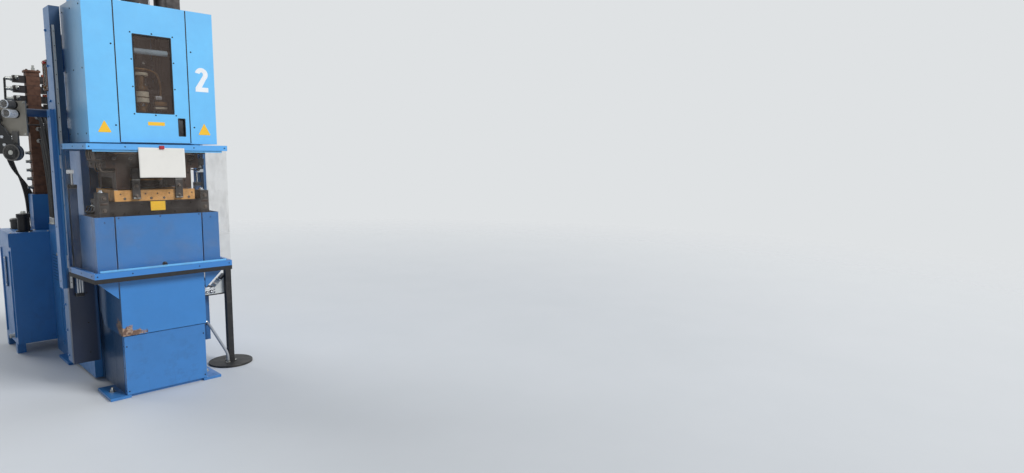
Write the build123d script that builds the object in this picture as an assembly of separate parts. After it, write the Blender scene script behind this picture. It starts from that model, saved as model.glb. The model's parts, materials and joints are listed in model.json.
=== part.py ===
from build123d import *
import os

# Vertical C-frame press that moulds rubber. Millimetres. X runs across the front, Y goes back, Z is up.
# The origin is on the floor, where the vertical clamping axis meets it.

# How far a cutting shape runs past the face that it cuts
cut_past = 1

# Base box and its front panel
base_width = 542
base_front = 270
base_back = 250
floor_gap = 20
base_top = 860
panel_thickness = 8
panel_return = 45
panel_top = 438
panel_gap = 2

# C-frame behind the base
cheek_thickness = 50
frame_width = 650
frame_front = 300
frame_back = 1160
cheek_top = 2430
opening_front = 564
opening_back = 830
opening_low = 800
opening_high = 1120
rear_plate_thickness = 60
plinth_inset = 24
lower_head_top = 760

# Upper crosshead over the mould
head_width = 548
head_front = 230
head_bottom = 1716
head_top = 1980

# Feet
foot_length = 310
foot_reach = 105
anchor_hole_radius = 10

# Guard columns that stand beside the C-frame
column_depth = 160
column_front = 170
column_bottom = 190
column_top = 2690
column_plate = 14
column_flange = 62
infill_top = 1000

# Clamping: ram, table and the covers that travel with it
stroke = 350
ram_radius = 110
ram_clearance = 1
ram_bottom = 500
table_half_width = 401
table_front = 276
table_back = 108
table_rear_half = 277
table_rear = 240
table_thickness = 40
table_top = 1270
sheet_thickness = 3
cover_clearance = 6
cover_bottom = 445
cover_back = 245
cover_rise = 115
cover_rise_length = 100
wing_gap = 8
wing_low = 825
wing_inner_low = 711
cover_top = 1276

# Mould and platens
mould_half_width = 300
lower_mould_front = 230
mould_back = 205
lower_mould_top = 1374
transfer_half_width = 262
transfer_front = 222
transfer_top = 1450
upper_mould_half_width = 245
upper_mould_front = 214
upper_mould_bottom = 1456
upper_plate_bottom = 1535
upper_mould_top = 1600
upper_platen_top = 1700
mould_corner = 85
sprue_radius = 112
hook_width = 50
hook_thickness = 14
hook_standoff = 6
hook_bottom = 1388
hook_centres = (-129, 150)
side_block_width = 58
side_block_top = 1436
side_block_depth = 120

# Guard
guard_room = 50
guard_flare = 30
guard_shift = 10
guard_front = 350
column_inset = 1
guard_rear = 136
guard_depth = 32
guard_low = 872
guard_low_height = 39
guard_top = 1765
guard_top_height = 38
guard_side_width = 20
guard_upright = 26
guard_stroke = 700
pane = 5
rubber_height = 30
rubber_depth = 16

# Guard drive: rail, carriage, lift cylinder and rod
rail_width = 14
rail_height = 20
rail_inset = 14
rail_bottom = 750
rail_top = 2560
carriage_width = 30
carriage_length = 90
carriage_centres = (940, 1640)
carriage_clearance = 0.2
runner_gap = 5
cylinder_inset = 58
cylinder_size = 46
cylinder_bottom = 690
cylinder_top = 1480
cylinder_bore = 11
rod_radius = 8
rod_foot = 735
rod_reach = 105
rod_bracket = 25
rod_cushion = 10
rail_cover_width = 25
rail_cover_front = 220
rail_cover_back = 310
rail_cover_bottom = 740
rail_cover_top = 2000

# Upper housing, a sheet steel box with a door
housing_half_width = 407
housing_front = 304
housing_back = 207
housing_bottom = 1774
housing_top = 2700
housing_sheet = 4
door_left = -226
door_right = 222
door_gap = 3
window_half_width = 119
window_bottom = 1981
window_top = 2493
window_glass = 5
window_lap = 16
recess_left = 146
recess_right = 190
recess_bottom = 1828
recess_top = 1949
recess_depth = 22

# Injection unit
barrel_radius = 85
barrel_length = 350
nozzle_radius = 30
nozzle_bore = 31
injector_radius = 85
injector_top = 3290
injector_flange = 18
injector_flange_height = 34
yoke_left = 215
yoke_right = 135
yoke_front = 75
yoke_back = 125
yoke_thickness = 60
hose_height_on_yoke = 30
guide_rod_radius = 30
guide_rod_x = 165
guide_rod_y = 20
gauge_rod_radius = 11
gauge_rod_x = 110
gauge_rod_y = 75
rod_block_left = 250
rod_block_right = 60
rod_block_front = 45
rod_block_back = 85
rod_block_drop = 130
rod_block_height = 102
lid_opening_left = 205
lid_opening_right = 130
lid_opening_front = 125
lid_opening_back = 122
feeder_x = 200
feeder_y = 85
feeder_radius = 46
feeder_top = 3240
feeder_case = 70
feeder_case_x = 288
feeder_case_top = 3320
post_size = 110
post_x = -310
post_y = 150
post_top = 3400

# Oil unit behind the frame: pump box, tank with its tray, and the valve stack on the tank
pump_box_back = 1450
pump_box_top = 1100
tank_left = -600
tank_right = 200
tank_back = 1950
tank_bottom = 90
tank_top = 1030
tray_height = 112
tray_reach = 12
tank_foot = 60
stack_x = -316
stack_y = 1722
stack_size = 95
stack_foot = 150
stack_foot_top = 1340
stack_top = 2390
valve_height = 58
valve_pitch = 84
valve_reach = 88
valve_depth = 62
valve_rows = 6
motor_radius = 110
motor_x = 0
motor_y = 1700
motor_top = 1450

# Hydraulic hoses
overhead_hose_radius = 17
overhead_hose_columns = (-190, -145, -100, -55)
overhead_hose_turn = 430
overhead_hose_drop = (1030, 2750)
overhead_hose_bend = 450
arch_hose_radius = 14
arch_hose_columns = (-250, -212, 60)
arch_hose_spans = ((860, 1265, 2625), (915, 1210, 2570))
stack_hose_radius = 13
stack_hose_columns = (-308, -279)
stack_hose_rows = ((1420, 1800), (1375, 1900), (1330, 2000))
stack_hose_reach = 120
stack_hose_bend = 110
stack_hose_fall = 420
throat_hose_radius = 16
throat_hose_x = -235
throat_hose_rows = (640, 690, 740)
throat_hose_lean = 40

# Strip feeder on the left cheek; its plate is drawn square to the bar and then turned about the bar's end
feed_bar_y = 550
feed_bar_z = 1985
feed_bar_radius = 28
feed_plate_x = -612
feed_plate_thickness = 12
feed_plate_turn = 45
feed_plate_front = 507
feed_plate_back = 797
feed_plate_low = 1818
feed_plate_high = 2064
feed_roller_radius = 27
feed_roller_length = 98
feed_roller_centres = ((588, 2036), (578, 1972))
feed_arm_width = 40
feed_arm_thickness = 16
feed_arm_low = 1690
feed_arm_high = 1850
feed_disc_radius = 58
feed_disc_thickness = 50
feed_disc_centre = (585, 1700)

# Level gauge on the left cheek
gauge_front = 1010
gauge_back = 1150
gauge_low = 2190
gauge_high = 2424
gauge_depth = 22
gauge_rim = 30
gauge_tube_radius = 9

# Operator console
console_x = 584
console_y = 42
console_foot_radius = 166
console_foot_height = 14
console_post = 44
console_post_top = 780
desk_left = 412
desk_back = 160
desk_bottom = 584
desk_deck = 632
desk_hood_foot = 486
desk_hood_left = 583
desk_top = 729
conduit_radius = 11
conduit_x = 449
conduit_high = 330
conduit_swing = 115
conduit_end = (542, -3)
conduit_turn = 90
conduit_bends = (60, 120)

# Note held on the guard by a magnet
note_width = 297
note_height = 205
note_thickness = 1
note_top = 1744
note_x = 10
magnet_radius = 16
magnet_depth = 8


def block(x0, x1, y0, y1, z0, z1):
    """A box between two corners."""
    middle = Pos((x0 + x1) / 2, (y0 + y1) / 2, (z0 + z1) / 2)
    return middle * Box(abs(x1 - x0), abs(y1 - y0), abs(z1 - z0))


def shaft(x, y, z0, z1, radius):
    """A vertical round bar."""
    return Pos(x, y, (z0 + z1) / 2) * Cylinder(radius, z1 - z0)


def plan(points, z0, z1):
    """A prism with this outline in plan."""
    return Pos(0, 0, z0) * extrude(make_face(Polyline(*points, close=True)), z1 - z0)


def front_view(points, y0, y1):
    """A plate with this outline as seen from the front, x against z."""
    face = make_face(Polyline(*[(x, y0, z) for x, z in points], close=True))
    return extrude(face, amount=y1 - y0, dir=(0, 1, 0))


def side_view(points, x0, x1):
    """A plate with this outline as seen from the side, y against z."""
    face = make_face(Polyline(*[(x0, y, z) for y, z in points], close=True))
    return extrude(face, amount=x1 - x0, dir=(1, 0, 0))


def both_sides(piece):
    """The piece and its mirror image across the middle plane."""
    return [piece, mirror(piece, Plane.YZ)]


base_half = base_width / 2
frame_half = frame_width / 2
cover_half = base_half + cover_clearance + sheet_thickness
cover_front = base_front + cover_clearance + sheet_thickness
column_back = column_front + column_depth
guard_half_front = table_half_width + guard_room
guard_half_rear = guard_half_front + guard_flare
column_half_span = guard_half_rear - column_inset
rail_centre = column_half_span - rail_inset
cylinder_centre = column_half_span - cylinder_inset
ram_bore_bottom = ram_bottom - stroke - panel_return
rod_head = cylinder_top + rod_reach
door_bottom = housing_bottom + housing_sheet
barrel_top = head_top + barrel_length
yoke_top = injector_top + yoke_thickness
rod_block_top = injector_top - rod_block_drop
rod_block_bottom = rod_block_top - rod_block_height
overhead_hose_height = injector_top + hose_height_on_yoke


def make_base():
    """The closed base box, its lower crosshead and the bore that the ram runs in."""
    front = block(
        panel_thickness - base_half,
        base_half - panel_thickness,
        panel_thickness - base_front,
        panel_return + panel_thickness - base_front,
        floor_gap,
        base_top,
    )
    body = block(
        -base_half,
        base_half,
        panel_return + panel_thickness - base_front,
        base_back,
        floor_gap,
        base_top,
    )
    rear = block(
        cheek_thickness - frame_half,
        frame_half - cheek_thickness,
        base_back,
        frame_back - rear_plate_thickness,
        floor_gap,
        lower_head_top,
    )
    plinth = block(
        plinth_inset - base_half,
        base_half - plinth_inset,
        plinth_inset - base_front,
        frame_back - rear_plate_thickness - plinth_inset,
        0,
        floor_gap,
    )
    bore = shaft(0, 0, ram_bore_bottom, base_top + cut_past, ram_radius + ram_clearance)
    return front + body + rear + plinth - bore


def make_base_panel():
    """The bolted front panel, which wraps a little way round both sides."""
    outer = block(
        -base_half,
        base_half,
        -base_front,
        panel_return - base_front,
        floor_gap + panel_gap,
        panel_top,
    )
    inner = block(
        panel_thickness - base_half,
        base_half - panel_thickness,
        panel_thickness - base_front,
        panel_return - base_front + cut_past,
        floor_gap,
        panel_top + cut_past,
    )
    return outer - inner


def make_feet():
    """Sole plates: a pair at the front that stick out sideways, and a pair under the frame."""
    inner = plinth_inset - base_half
    front_foot = block(
        -base_half - foot_reach, inner, -base_front, foot_length - base_front, 0, floor_gap
    )
    rear_foot = block(
        -frame_half - foot_reach / 2, inner, frame_back - foot_length, frame_back, 0, floor_gap
    )
    front_foot -= shaft(
        -base_half - foot_reach / 2,
        foot_length / 2 - base_front,
        -cut_past,
        floor_gap + cut_past,
        anchor_hole_radius,
    )
    return Compound(both_sides(front_foot) + both_sides(rear_foot))


def make_cheek(side):
    """One thick side plate of the C-frame, with its hose opening: side is -1 left, 1 right."""
    plate = block(
        side * (frame_half - cheek_thickness),
        side * frame_half,
        frame_front,
        frame_back,
        floor_gap,
        cheek_top,
    )
    opening = block(
        side * (frame_half - cheek_thickness - cut_past),
        side * (frame_half + cut_past),
        opening_front,
        opening_back,
        opening_low,
        opening_high,
    )
    return plate - opening


def make_rear_panel():
    """The plate that ties the two cheeks together at the back."""
    return block(
        cheek_thickness - frame_half,
        frame_half - cheek_thickness,
        frame_back - rear_plate_thickness,
        frame_back,
        floor_gap,
        cheek_top,
    )


def make_upper_head():
    """The upper crosshead, bored for the barrel."""
    half = frame_half - cheek_thickness
    arm = block(-head_width / 2, head_width / 2, -head_front, frame_front, head_bottom, head_top)
    rear = block(-half, half, frame_front, frame_back - rear_plate_thickness, head_bottom, head_top)
    return arm + rear - shaft(0, 0, head_bottom - cut_past, head_top + cut_past, nozzle_bore)


def make_column(side):
    """A guard column: an angle with its flange to the front, and a wide infill plate lower down."""
    outer = block(
        side * (column_half_span - column_plate),
        side * column_half_span,
        column_front,
        column_back,
        column_bottom,
        column_top,
    )
    flange = block(
        side * (column_half_span - column_flange),
        side * column_half_span,
        column_front,
        column_front + column_plate,
        column_bottom,
        column_top,
    )
    infill = block(
        side * (frame_half - column_plate),
        side * column_half_span,
        column_front,
        column_front + column_plate,
        column_bottom,
        infill_top,
    )
    ties = [
        block(
            side * frame_half,
            side * column_half_span,
            column_back - column_plate,
            column_back,
            low,
            low + column_depth,
        )
        for low in (column_bottom, infill_top, head_bottom, cheek_top - column_depth)
    ]
    return outer + flange + infill + ties


def make_table():
    """The moving table, stepped in where it passes between the guard columns."""
    front = block(
        -table_half_width, table_half_width, -table_front, table_back, table_top - table_thickness, table_top
    )
    rear = block(
        -table_rear_half, table_rear_half, table_back, table_rear, table_top - table_thickness, table_top
    )
    return front + rear


def make_wing(side):
    """One side of the wide moving cover: a front strip cut off at an angle, and a side sheet."""
    inner = side * (cover_half + wing_gap)
    outer = side * (table_half_width + sheet_thickness)
    strip = front_view(
        [(inner, wing_inner_low), (inner, cover_top), (outer, cover_top), (outer, wing_low)],
        -cover_front,
        sheet_thickness - cover_front,
    )
    wall = block(
        side * table_half_width,
        outer,
        sheet_thickness - cover_front,
        table_back,
        wing_low,
        cover_top,
    )
    return strip + wall


def make_cover():
    """The narrow moving cover, which telescopes over the base box: a front and two sides."""
    inner_front = sheet_thickness - cover_front
    front = block(-cover_half, cover_half, -cover_front, inner_front, cover_bottom, cover_top)
    low = table_top - table_thickness
    outline = [
        (inner_front, cover_bottom),
        (cover_back - cover_rise_length, cover_bottom),
        (cover_back, cover_bottom + cover_rise),
        (cover_back, low),
        (inner_front, low),
    ]
    wall = side_view(outline, cover_half - sheet_thickness, cover_half)
    return front + both_sides(wall)


def make_ram():
    return shaft(0, 0, ram_bottom, table_top - table_thickness, ram_radius)


def make_lower_mould():
    return block(
        -mould_half_width, mould_half_width, -lower_mould_front, mould_back, table_top, lower_mould_top
    )


def make_side_blocks():
    """The latch blocks that stand on the table at each side of the mould."""
    piece = block(
        mould_half_width,
        mould_half_width + side_block_width,
        -lower_mould_front,
        side_block_depth - lower_mould_front,
        table_top,
        side_block_top,
    )
    return Compound(both_sides(piece))


def make_transfer_plate():
    return block(
        -transfer_half_width,
        transfer_half_width,
        -transfer_front,
        mould_back,
        lower_mould_top,
        transfer_top,
    )


def make_upper_mould():
    """The upper mould half: a plate on four corner blocks round the sprue body."""
    half = upper_mould_half_width
    plate = block(-half, half, -upper_mould_front, mould_back, upper_plate_bottom, upper_mould_top)
    corners = []
    for x0, x1 in ((-half, mould_corner - half), (half - mould_corner, half)):
        for y0, y1 in (
            (-upper_mould_front, mould_corner - upper_mould_front),
            (mould_back - mould_corner, mould_back),
        ):
            corners.append(block(x0, x1, y0, y1, upper_mould_bottom, upper_plate_bottom))
    sprue = shaft(0, 0, upper_mould_bottom, upper_plate_bottom, sprue_radius)
    return plate + corners + sprue


def make_upper_platen():
    return block(
        -mould_half_width,
        mould_half_width,
        -upper_mould_front,
        mould_back,
        upper_mould_top,
        upper_platen_top,
    )


def make_insulation():
    board = block(
        -upper_mould_half_width,
        upper_mould_half_width,
        -upper_mould_front,
        mould_back,
        upper_platen_top,
        head_bottom,
    )
    return board - shaft(0, 0, upper_platen_top - cut_past, head_bottom + cut_past, nozzle_bore)


def make_hooks():
    """Two latch hooks that hang in front of the transfer plate."""
    hooks = []
    for centre in hook_centres:
        x0 = centre - hook_width / 2
        x1 = centre + hook_width / 2
        arm = block(
            x0,
            x1,
            -transfer_front - hook_standoff - hook_thickness,
            -transfer_front - hook_standoff,
            hook_bottom,
            upper_mould_top,
        )
        seat = block(
            x0,
            x1,
            -transfer_front - hook_standoff,
            -upper_mould_front,
            upper_plate_bottom,
            upper_mould_top,
        )
        hooks.append(arm + seat)
    return Compound(hooks)


def guard_edge(side, inset, y):
    """x of the guard's side face at depth y, moved in by inset."""
    share = (y + guard_front) / (guard_front + guard_rear)
    front = side * guard_half_front + guard_shift
    rear = side * guard_half_rear
    return front + (rear - front) * share - side * inset


def guard_outline(inset_side, inset_front):
    """A U in plan that follows the guard's three faces, from rear left round to rear right."""
    y0 = -guard_front
    y1 = guard_rear
    y2 = inset_front - guard_front
    return [
        (guard_edge(-1, 0, y1), y1),
        (guard_edge(-1, 0, y0), y0),
        (guard_edge(1, 0, y0), y0),
        (guard_edge(1, 0, y1), y1),
        (guard_edge(1, inset_side, y1), y1),
        (guard_edge(1, inset_side, y2), y2),
        (guard_edge(-1, inset_side, y2), y2),
        (guard_edge(-1, inset_side, y1), y1),
    ]


def make_guard_bar(low, height):
    return plan(guard_outline(guard_side_width, guard_depth), low, low + height)


def make_guard_frame():
    """The guard's welded frame: a lower and an upper bar round three sides, and two rear uprights."""
    low = guard_low + guard_low_height
    high = guard_top - guard_top_height
    uprights = []
    for side in (-1, 1):
        y0 = guard_rear - guard_upright
        outline = [
            (guard_edge(side, 0, y0), y0),
            (guard_edge(side, 0, guard_rear), guard_rear),
            (guard_edge(side, guard_side_width, guard_rear), guard_rear),
            (guard_edge(side, guard_side_width, y0), y0),
        ]
        uprights.append(plan(outline, low, high))
    lower = make_guard_bar(guard_low, guard_low_height)
    upper = make_guard_bar(high, guard_top_height)
    return lower + upper + uprights


def make_guard_rubber():
    """The soft strip under the guard's lower frame."""
    return plan(guard_outline(rubber_depth, rubber_depth), guard_low - rubber_height, guard_low)


def make_guard_front_pane():
    return block(
        guard_edge(-1, pane, -guard_front),
        guard_edge(1, pane, -guard_front),
        -guard_front + pane,
        -guard_front + 2 * pane,
        guard_low + guard_low_height,
        guard_top - guard_top_height,
    )


def make_guard_side_pane(side):
    y0 = -guard_front + 2 * pane
    y1 = guard_rear - guard_upright
    outline = [
        (guard_edge(side, pane, y0), y0),
        (guard_edge(side, pane, y1), y1),
        (guard_edge(side, 2 * pane, y1), y1),
        (guard_edge(side, 2 * pane, y0), y0),
    ]
    return plan(outline, guard_low + guard_low_height, guard_top - guard_top_height)


def make_carriages():
    """Runner blocks that hold the guard to its rails, two each side."""
    slot_half = rail_width / 2 + carriage_clearance
    pieces = []
    for low in [centre - carriage_length / 2 for centre in carriage_centres]:
        body = block(
            rail_centre - carriage_width / 2,
            rail_centre + carriage_width / 2,
            guard_rear,
            column_front - runner_gap,
            low,
            low + carriage_length,
        )
        slot = block(
            rail_centre - slot_half,
            rail_centre + slot_half,
            column_front - rail_height - carriage_clearance,
            column_front,
            low - cut_past,
            low + carriage_length + cut_past,
        )
        pieces += both_sides(body - slot)
    return Compound(pieces)


def make_rails():
    """Slim guide rails on the front flanges of the guard columns."""
    rail = block(
        rail_centre - rail_width / 2,
        rail_centre + rail_width / 2,
        column_front - rail_height,
        column_front,
        rail_bottom,
        rail_top,
    )
    return Compound(both_sides(rail))


def make_lift_cylinders():
    """Square pneumatic cylinders that lift the guard, one on each column."""
    centre_y = column_front - cylinder_size / 2
    body = block(
        cylinder_centre - cylinder_size / 2,
        cylinder_centre + cylinder_size / 2,
        column_front - cylinder_size,
        column_front,
        cylinder_bottom,
        cylinder_top,
    )
    bore = shaft(cylinder_centre, centre_y, rod_foot - rod_cushion, cylinder_top + cut_past, cylinder_bore)
    return Compound(both_sides(body - bore))


def make_lift_rods():
    """The rods, each with a bracket to the guard's rear upright."""
    centre_y = column_front - cylinder_size / 2
    low = rod_head - rod_bracket
    y0 = guard_rear - guard_upright
    rods = []
    for side in (-1, 1):
        near = side * (cylinder_centre - rod_radius)
        far = side * (cylinder_centre + rod_radius)
        outline = [
            (near, y0),
            (guard_edge(side, guard_side_width, y0), y0),
            (guard_edge(side, guard_side_width, guard_rear), guard_rear),
            (far, guard_rear),
            (far, centre_y + rod_radius),
            (near, centre_y + rod_radius),
        ]
        rod = shaft(side * cylinder_centre, centre_y, rod_foot, rod_head, rod_radius)
        rods.append(rod + plan(outline, low, rod_head))
    return Compound(rods)


def make_rail_covers():
    """Long covers on the outer sides of the guard columns."""
    cover = block(
        column_half_span,
        column_half_span + rail_cover_width,
        rail_cover_front,
        rail_cover_back,
        rail_cover_bottom,
        rail_cover_top,
    )
    return Compound(both_sides(cover))


def make_housing_side(side, inner_x):
    """A side of the upper housing with its front strip, up to the door."""
    outer = side * housing_half_width
    strip = block(
        inner_x, outer, -housing_front, housing_sheet - housing_front, housing_bottom, housing_top
    )
    wall = block(
        side * (housing_half_width - housing_sheet),
        outer,
        housing_sheet - housing_front,
        housing_back,
        housing_bottom,
        housing_top,
    )
    return strip + wall


def make_housing_top():
    """The lid, open where the injection unit and the feeder come through."""
    half = housing_half_width - housing_sheet
    lid = block(
        -half,
        half,
        housing_sheet - housing_front,
        housing_back,
        housing_top - housing_sheet,
        housing_top,
    )
    hole = block(
        -lid_opening_left,
        lid_opening_right,
        -lid_opening_front,
        lid_opening_back,
        housing_top - 2 * housing_sheet,
        housing_top + cut_past,
    )
    feed_hole = block(
        feeder_x - feeder_radius - housing_sheet,
        feeder_case_x + feeder_case / 2 + housing_sheet,
        feeder_y - feeder_radius - housing_sheet,
        feeder_y + feeder_radius + housing_sheet,
        housing_top - 2 * housing_sheet,
        housing_top + cut_past,
    )
    return lid - hole - feed_hole


def make_housing_floor():
    """The plate that closes the housing below, round the upper crosshead."""
    half = housing_half_width - housing_sheet
    plate = block(
        -half,
        half,
        housing_sheet - housing_front,
        housing_back,
        housing_bottom,
        housing_bottom + housing_sheet,
    )
    hole = block(
        -head_width / 2,
        head_width / 2,
        -head_front,
        housing_back + cut_past,
        housing_bottom - cut_past,
        housing_top,
    )
    return plate - hole


def make_door():
    """The front door with its window opening and the pocket for the handle."""
    leaf = block(
        door_left,
        door_right,
        -housing_front,
        housing_sheet - housing_front,
        door_bottom,
        housing_top,
    )
    light = block(
        -window_half_width,
        window_half_width,
        -housing_front - cut_past,
        housing_front,
        window_bottom,
        window_top,
    )
    pocket = block(
        recess_left,
        recess_right,
        -housing_front - cut_past,
        housing_front,
        recess_bottom,
        recess_top,
    )
    cup = block(
        recess_left - housing_sheet,
        recess_right + housing_sheet,
        housing_sheet - housing_front,
        recess_depth - housing_front,
        recess_bottom - housing_sheet,
        recess_top + housing_sheet,
    )
    cup -= block(
        recess_left,
        recess_right,
        -housing_front,
        recess_depth - housing_sheet - housing_front,
        recess_bottom,
        recess_top,
    )
    return leaf - light - pocket + cup


def make_window():
    """The window pane, clamped behind the door leaf."""
    return block(
        -window_half_width - window_lap,
        window_half_width + window_lap,
        housing_sheet - housing_front,
        housing_sheet + window_glass - housing_front,
        window_bottom - window_lap,
        window_top + window_lap,
    )


def make_barrel():
    """The injection barrel on the crosshead, with its nozzle down to the platen."""
    barrel = shaft(0, 0, head_top, barrel_top, barrel_radius)
    nozzle = shaft(0, 0, upper_platen_top, head_top, nozzle_radius)
    return barrel + nozzle


def make_injector():
    """The hydraulic injection cylinder with its end flanges."""
    body = shaft(0, 0, barrel_top, injector_top, injector_radius)
    flange_radius = injector_radius + injector_flange
    low = shaft(0, 0, barrel_top, barrel_top + injector_flange_height, flange_radius)
    high = shaft(0, 0, injector_top - injector_flange_height, injector_top, flange_radius)
    return body + low + high


def make_guide_rods():
    """The thick guide rod on the left of the injection cylinder, and the thin gauge rod on its right."""
    guide = shaft(-guide_rod_x, guide_rod_y, head_top, injector_top, guide_rod_radius)
    gauge = shaft(gauge_rod_x, gauge_rod_y, head_top, injector_top, gauge_rod_radius)
    return Compound([guide, gauge])


def make_rod_block():
    """The bronze block that steadies the guide rod against the injection cylinder."""
    body = block(
        -rod_block_left, -rod_block_right, -rod_block_front, rod_block_back, rod_block_bottom, rod_block_top
    )
    low = rod_block_bottom - cut_past
    high = rod_block_top + cut_past
    rod = shaft(-guide_rod_x, guide_rod_y, low, high, guide_rod_radius)
    return body - rod - shaft(0, 0, low, high, injector_radius)


def make_yoke():
    """The cross plate on top of the injection cylinder and its rods."""
    return block(-yoke_left, yoke_right, -yoke_front, yoke_back, injector_top, yoke_top)


def make_feeder():
    """The feed screw's tube and the square case beside it, which stand on the crosshead."""
    tube = shaft(feeder_x, feeder_y, head_top, feeder_top, feeder_radius)
    half = feeder_case / 2
    case = block(
        feeder_x,
        feeder_case_x + half,
        feeder_y - half,
        feeder_y + half,
        housing_top - 2 * feeder_case,
        feeder_case_top,
    )
    return tube + case


def make_top_post():
    """The square post on the housing that carries the hoses overhead."""
    half = post_size / 2
    return block(post_x - half, post_x + half, post_y - half, post_y + half, housing_top, post_top)


def make_pump_box():
    return block(-frame_half, frame_half, frame_back, pump_box_back, 0, pump_box_top)


def make_tank():
    """The oil tank on its feet, with the tray round its lid and the foot of the valve stack."""
    body = block(tank_left, tank_right, pump_box_back, tank_back, tank_bottom, tank_top - tray_height)
    tray = block(
        tank_left - tray_reach,
        tank_right + tray_reach,
        pump_box_back,
        tank_back + tray_reach,
        tank_top - tray_height,
        tank_top,
    )
    feet = [
        block(x, x + tank_foot, y, y + tank_foot, 0, tank_bottom)
        for x in (tank_left, tank_right - tank_foot)
        for y in (pump_box_back + tank_foot, tank_back - tank_foot)
    ]
    half = stack_foot / 2
    foot = block(
        stack_x - half, stack_x + half, stack_y - half, stack_y + half, tank_top, stack_foot_top
    )
    return body + tray + feet + foot


def make_stack():
    """The valve stack, a square column of manifold blocks."""
    half = stack_size / 2
    return block(
        stack_x - half, stack_x + half, stack_y - half, stack_y + half, stack_foot_top, stack_top
    )


def make_valves():
    """Valves that stick out at both sides of the stack."""
    pieces = []
    for side in (-1, 1):
        near = stack_x + side * stack_size / 2
        for row in range(valve_rows):
            high = stack_top - valve_pitch / 2 - row * valve_pitch
            reach = near + side * valve_reach
            pieces.append(
                block(
                    near,
                    reach,
                    stack_y - valve_depth / 2,
                    stack_y + valve_depth / 2,
                    high - valve_height,
                    high,
                )
            )
    return Compound(pieces)


def make_motor():
    """The pump motor, upright on the tank."""
    return shaft(motor_x, motor_y, tank_top, motor_top, motor_radius)


def hose(points, bends, radius):
    """A round hose along straight runs joined by arcs."""
    path = FilletPolyline(*points, radius=bends)
    start = Plane(origin=path @ 0, z_dir=path % 0)
    return sweep(start * Circle(radius), path=path)


def make_hoses():
    """The hydraulic hoses, each from one fitting to another."""
    hoses = []
    for x in overhead_hose_columns:
        points = [
            (x, yoke_back, overhead_hose_height),
            (x, overhead_hose_turn, overhead_hose_height),
            (x, *overhead_hose_drop),
            (x, overhead_hose_drop[0], head_top),
        ]
        hoses.append(hose(points, overhead_hose_bend, overhead_hose_radius))
    for x in arch_hose_columns:
        for near, far, high in arch_hose_spans:
            points = [(x, near, head_top), (x, near, high), (x, far, high), (x, far, pump_box_top)]
            hoses.append(hose(points, (far - near) * 0.49, arch_hose_radius))
    for x in stack_hose_columns:
        face = stack_y - stack_size / 2
        for far, high in stack_hose_rows:
            points = [
                (x, face, high),
                (x, face - stack_hose_reach, high),
                (x, far, high - stack_hose_fall),
                (x, far, pump_box_top),
            ]
            hoses.append(hose(points, stack_hose_bend, stack_hose_radius))
    for y in throat_hose_rows:
        x = throat_hose_x + throat_hose_lean
        low = lower_head_top + stroke
        points = [
            (throat_hose_x, y, lower_head_top),
            (throat_hose_x, y, low),
            (x, y + throat_hose_lean, low + stroke),
            (x, y + throat_hose_lean, head_bottom),
        ]
        hoses.append(hose(points, stroke, throat_hose_radius))
    return Compound(hoses)


def along_x(x0, x1, y, z, radius):
    """A round bar that runs along x."""
    return Pos((x0 + x1) / 2, y, z) * Cylinder(radius, abs(x1 - x0), rotation=(0, 90, 0))


def turn_feeder(shape):
    """Turns a shape about the end of the feeder's bar, so that its plate faces the front left corner."""
    return Pos(feed_plate_x, feed_bar_y) * Rot(Z=feed_plate_turn) * Pos(-feed_plate_x, -feed_bar_y) * shape


def make_strip_feeder():
    """The bar on the left cheek and the plate at its end that carries the strip rollers."""
    face = feed_plate_x - feed_plate_thickness
    half = feed_bar_radius + cut_past
    bar = along_x(feed_plate_x - feed_bar_radius, -frame_half, feed_bar_y, feed_bar_z, feed_bar_radius)
    bar_front = block(
        face - 2 * half,
        face,
        feed_bar_y - 2 * half,
        feed_bar_y + 2 * half,
        feed_bar_z - half,
        feed_bar_z + half,
    )
    plate = block(
        face,
        feed_plate_x,
        feed_plate_front,
        feed_plate_back,
        feed_plate_low,
        feed_plate_high,
    )
    return bar - turn_feeder(bar_front) + turn_feeder(plate)


def make_feed_rollers():
    """Two rollers and the arm with its round disc, on the feeder's plate."""
    face = feed_plate_x - feed_plate_thickness
    rollers = [
        along_x(face - feed_roller_length, face, y, z, feed_roller_radius) for y, z in feed_roller_centres
    ]
    arm = block(
        face - feed_arm_thickness,
        face,
        feed_disc_centre[0] - feed_arm_width / 2,
        feed_disc_centre[0] + feed_arm_width / 2,
        feed_arm_low,
        feed_arm_high,
    )
    disc = along_x(
        face - feed_arm_thickness - feed_disc_thickness,
        face - feed_arm_thickness,
        *feed_disc_centre,
        feed_disc_radius,
    )
    return turn_feeder(Compound([*rollers, arm + disc]))


def make_gauge():
    """The level gauge, a frame with a glass tube."""
    middle = (gauge_front + gauge_back) / 2
    frame = block(-frame_half - gauge_depth, -frame_half, gauge_front, gauge_back, gauge_low, gauge_high)
    light = block(
        -frame_half - gauge_depth - cut_past,
        -frame_half + cut_past,
        gauge_front + gauge_rim,
        gauge_back - gauge_rim,
        gauge_low + gauge_rim,
        gauge_high - gauge_rim,
    )
    tube = shaft(
        -frame_half - gauge_depth / 2,
        middle,
        gauge_low + gauge_rim,
        gauge_high - gauge_rim,
        gauge_tube_radius,
    )
    return frame - light + tube


def make_console_stand():
    """The console's post on its round foot."""
    foot = shaft(console_x, console_y, 0, console_foot_height, console_foot_radius)
    half = console_post / 2
    post = block(
        console_x - half,
        console_x + half,
        console_y - half,
        console_y + half,
        console_foot_height,
        console_post_top,
    )
    return foot + post


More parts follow.
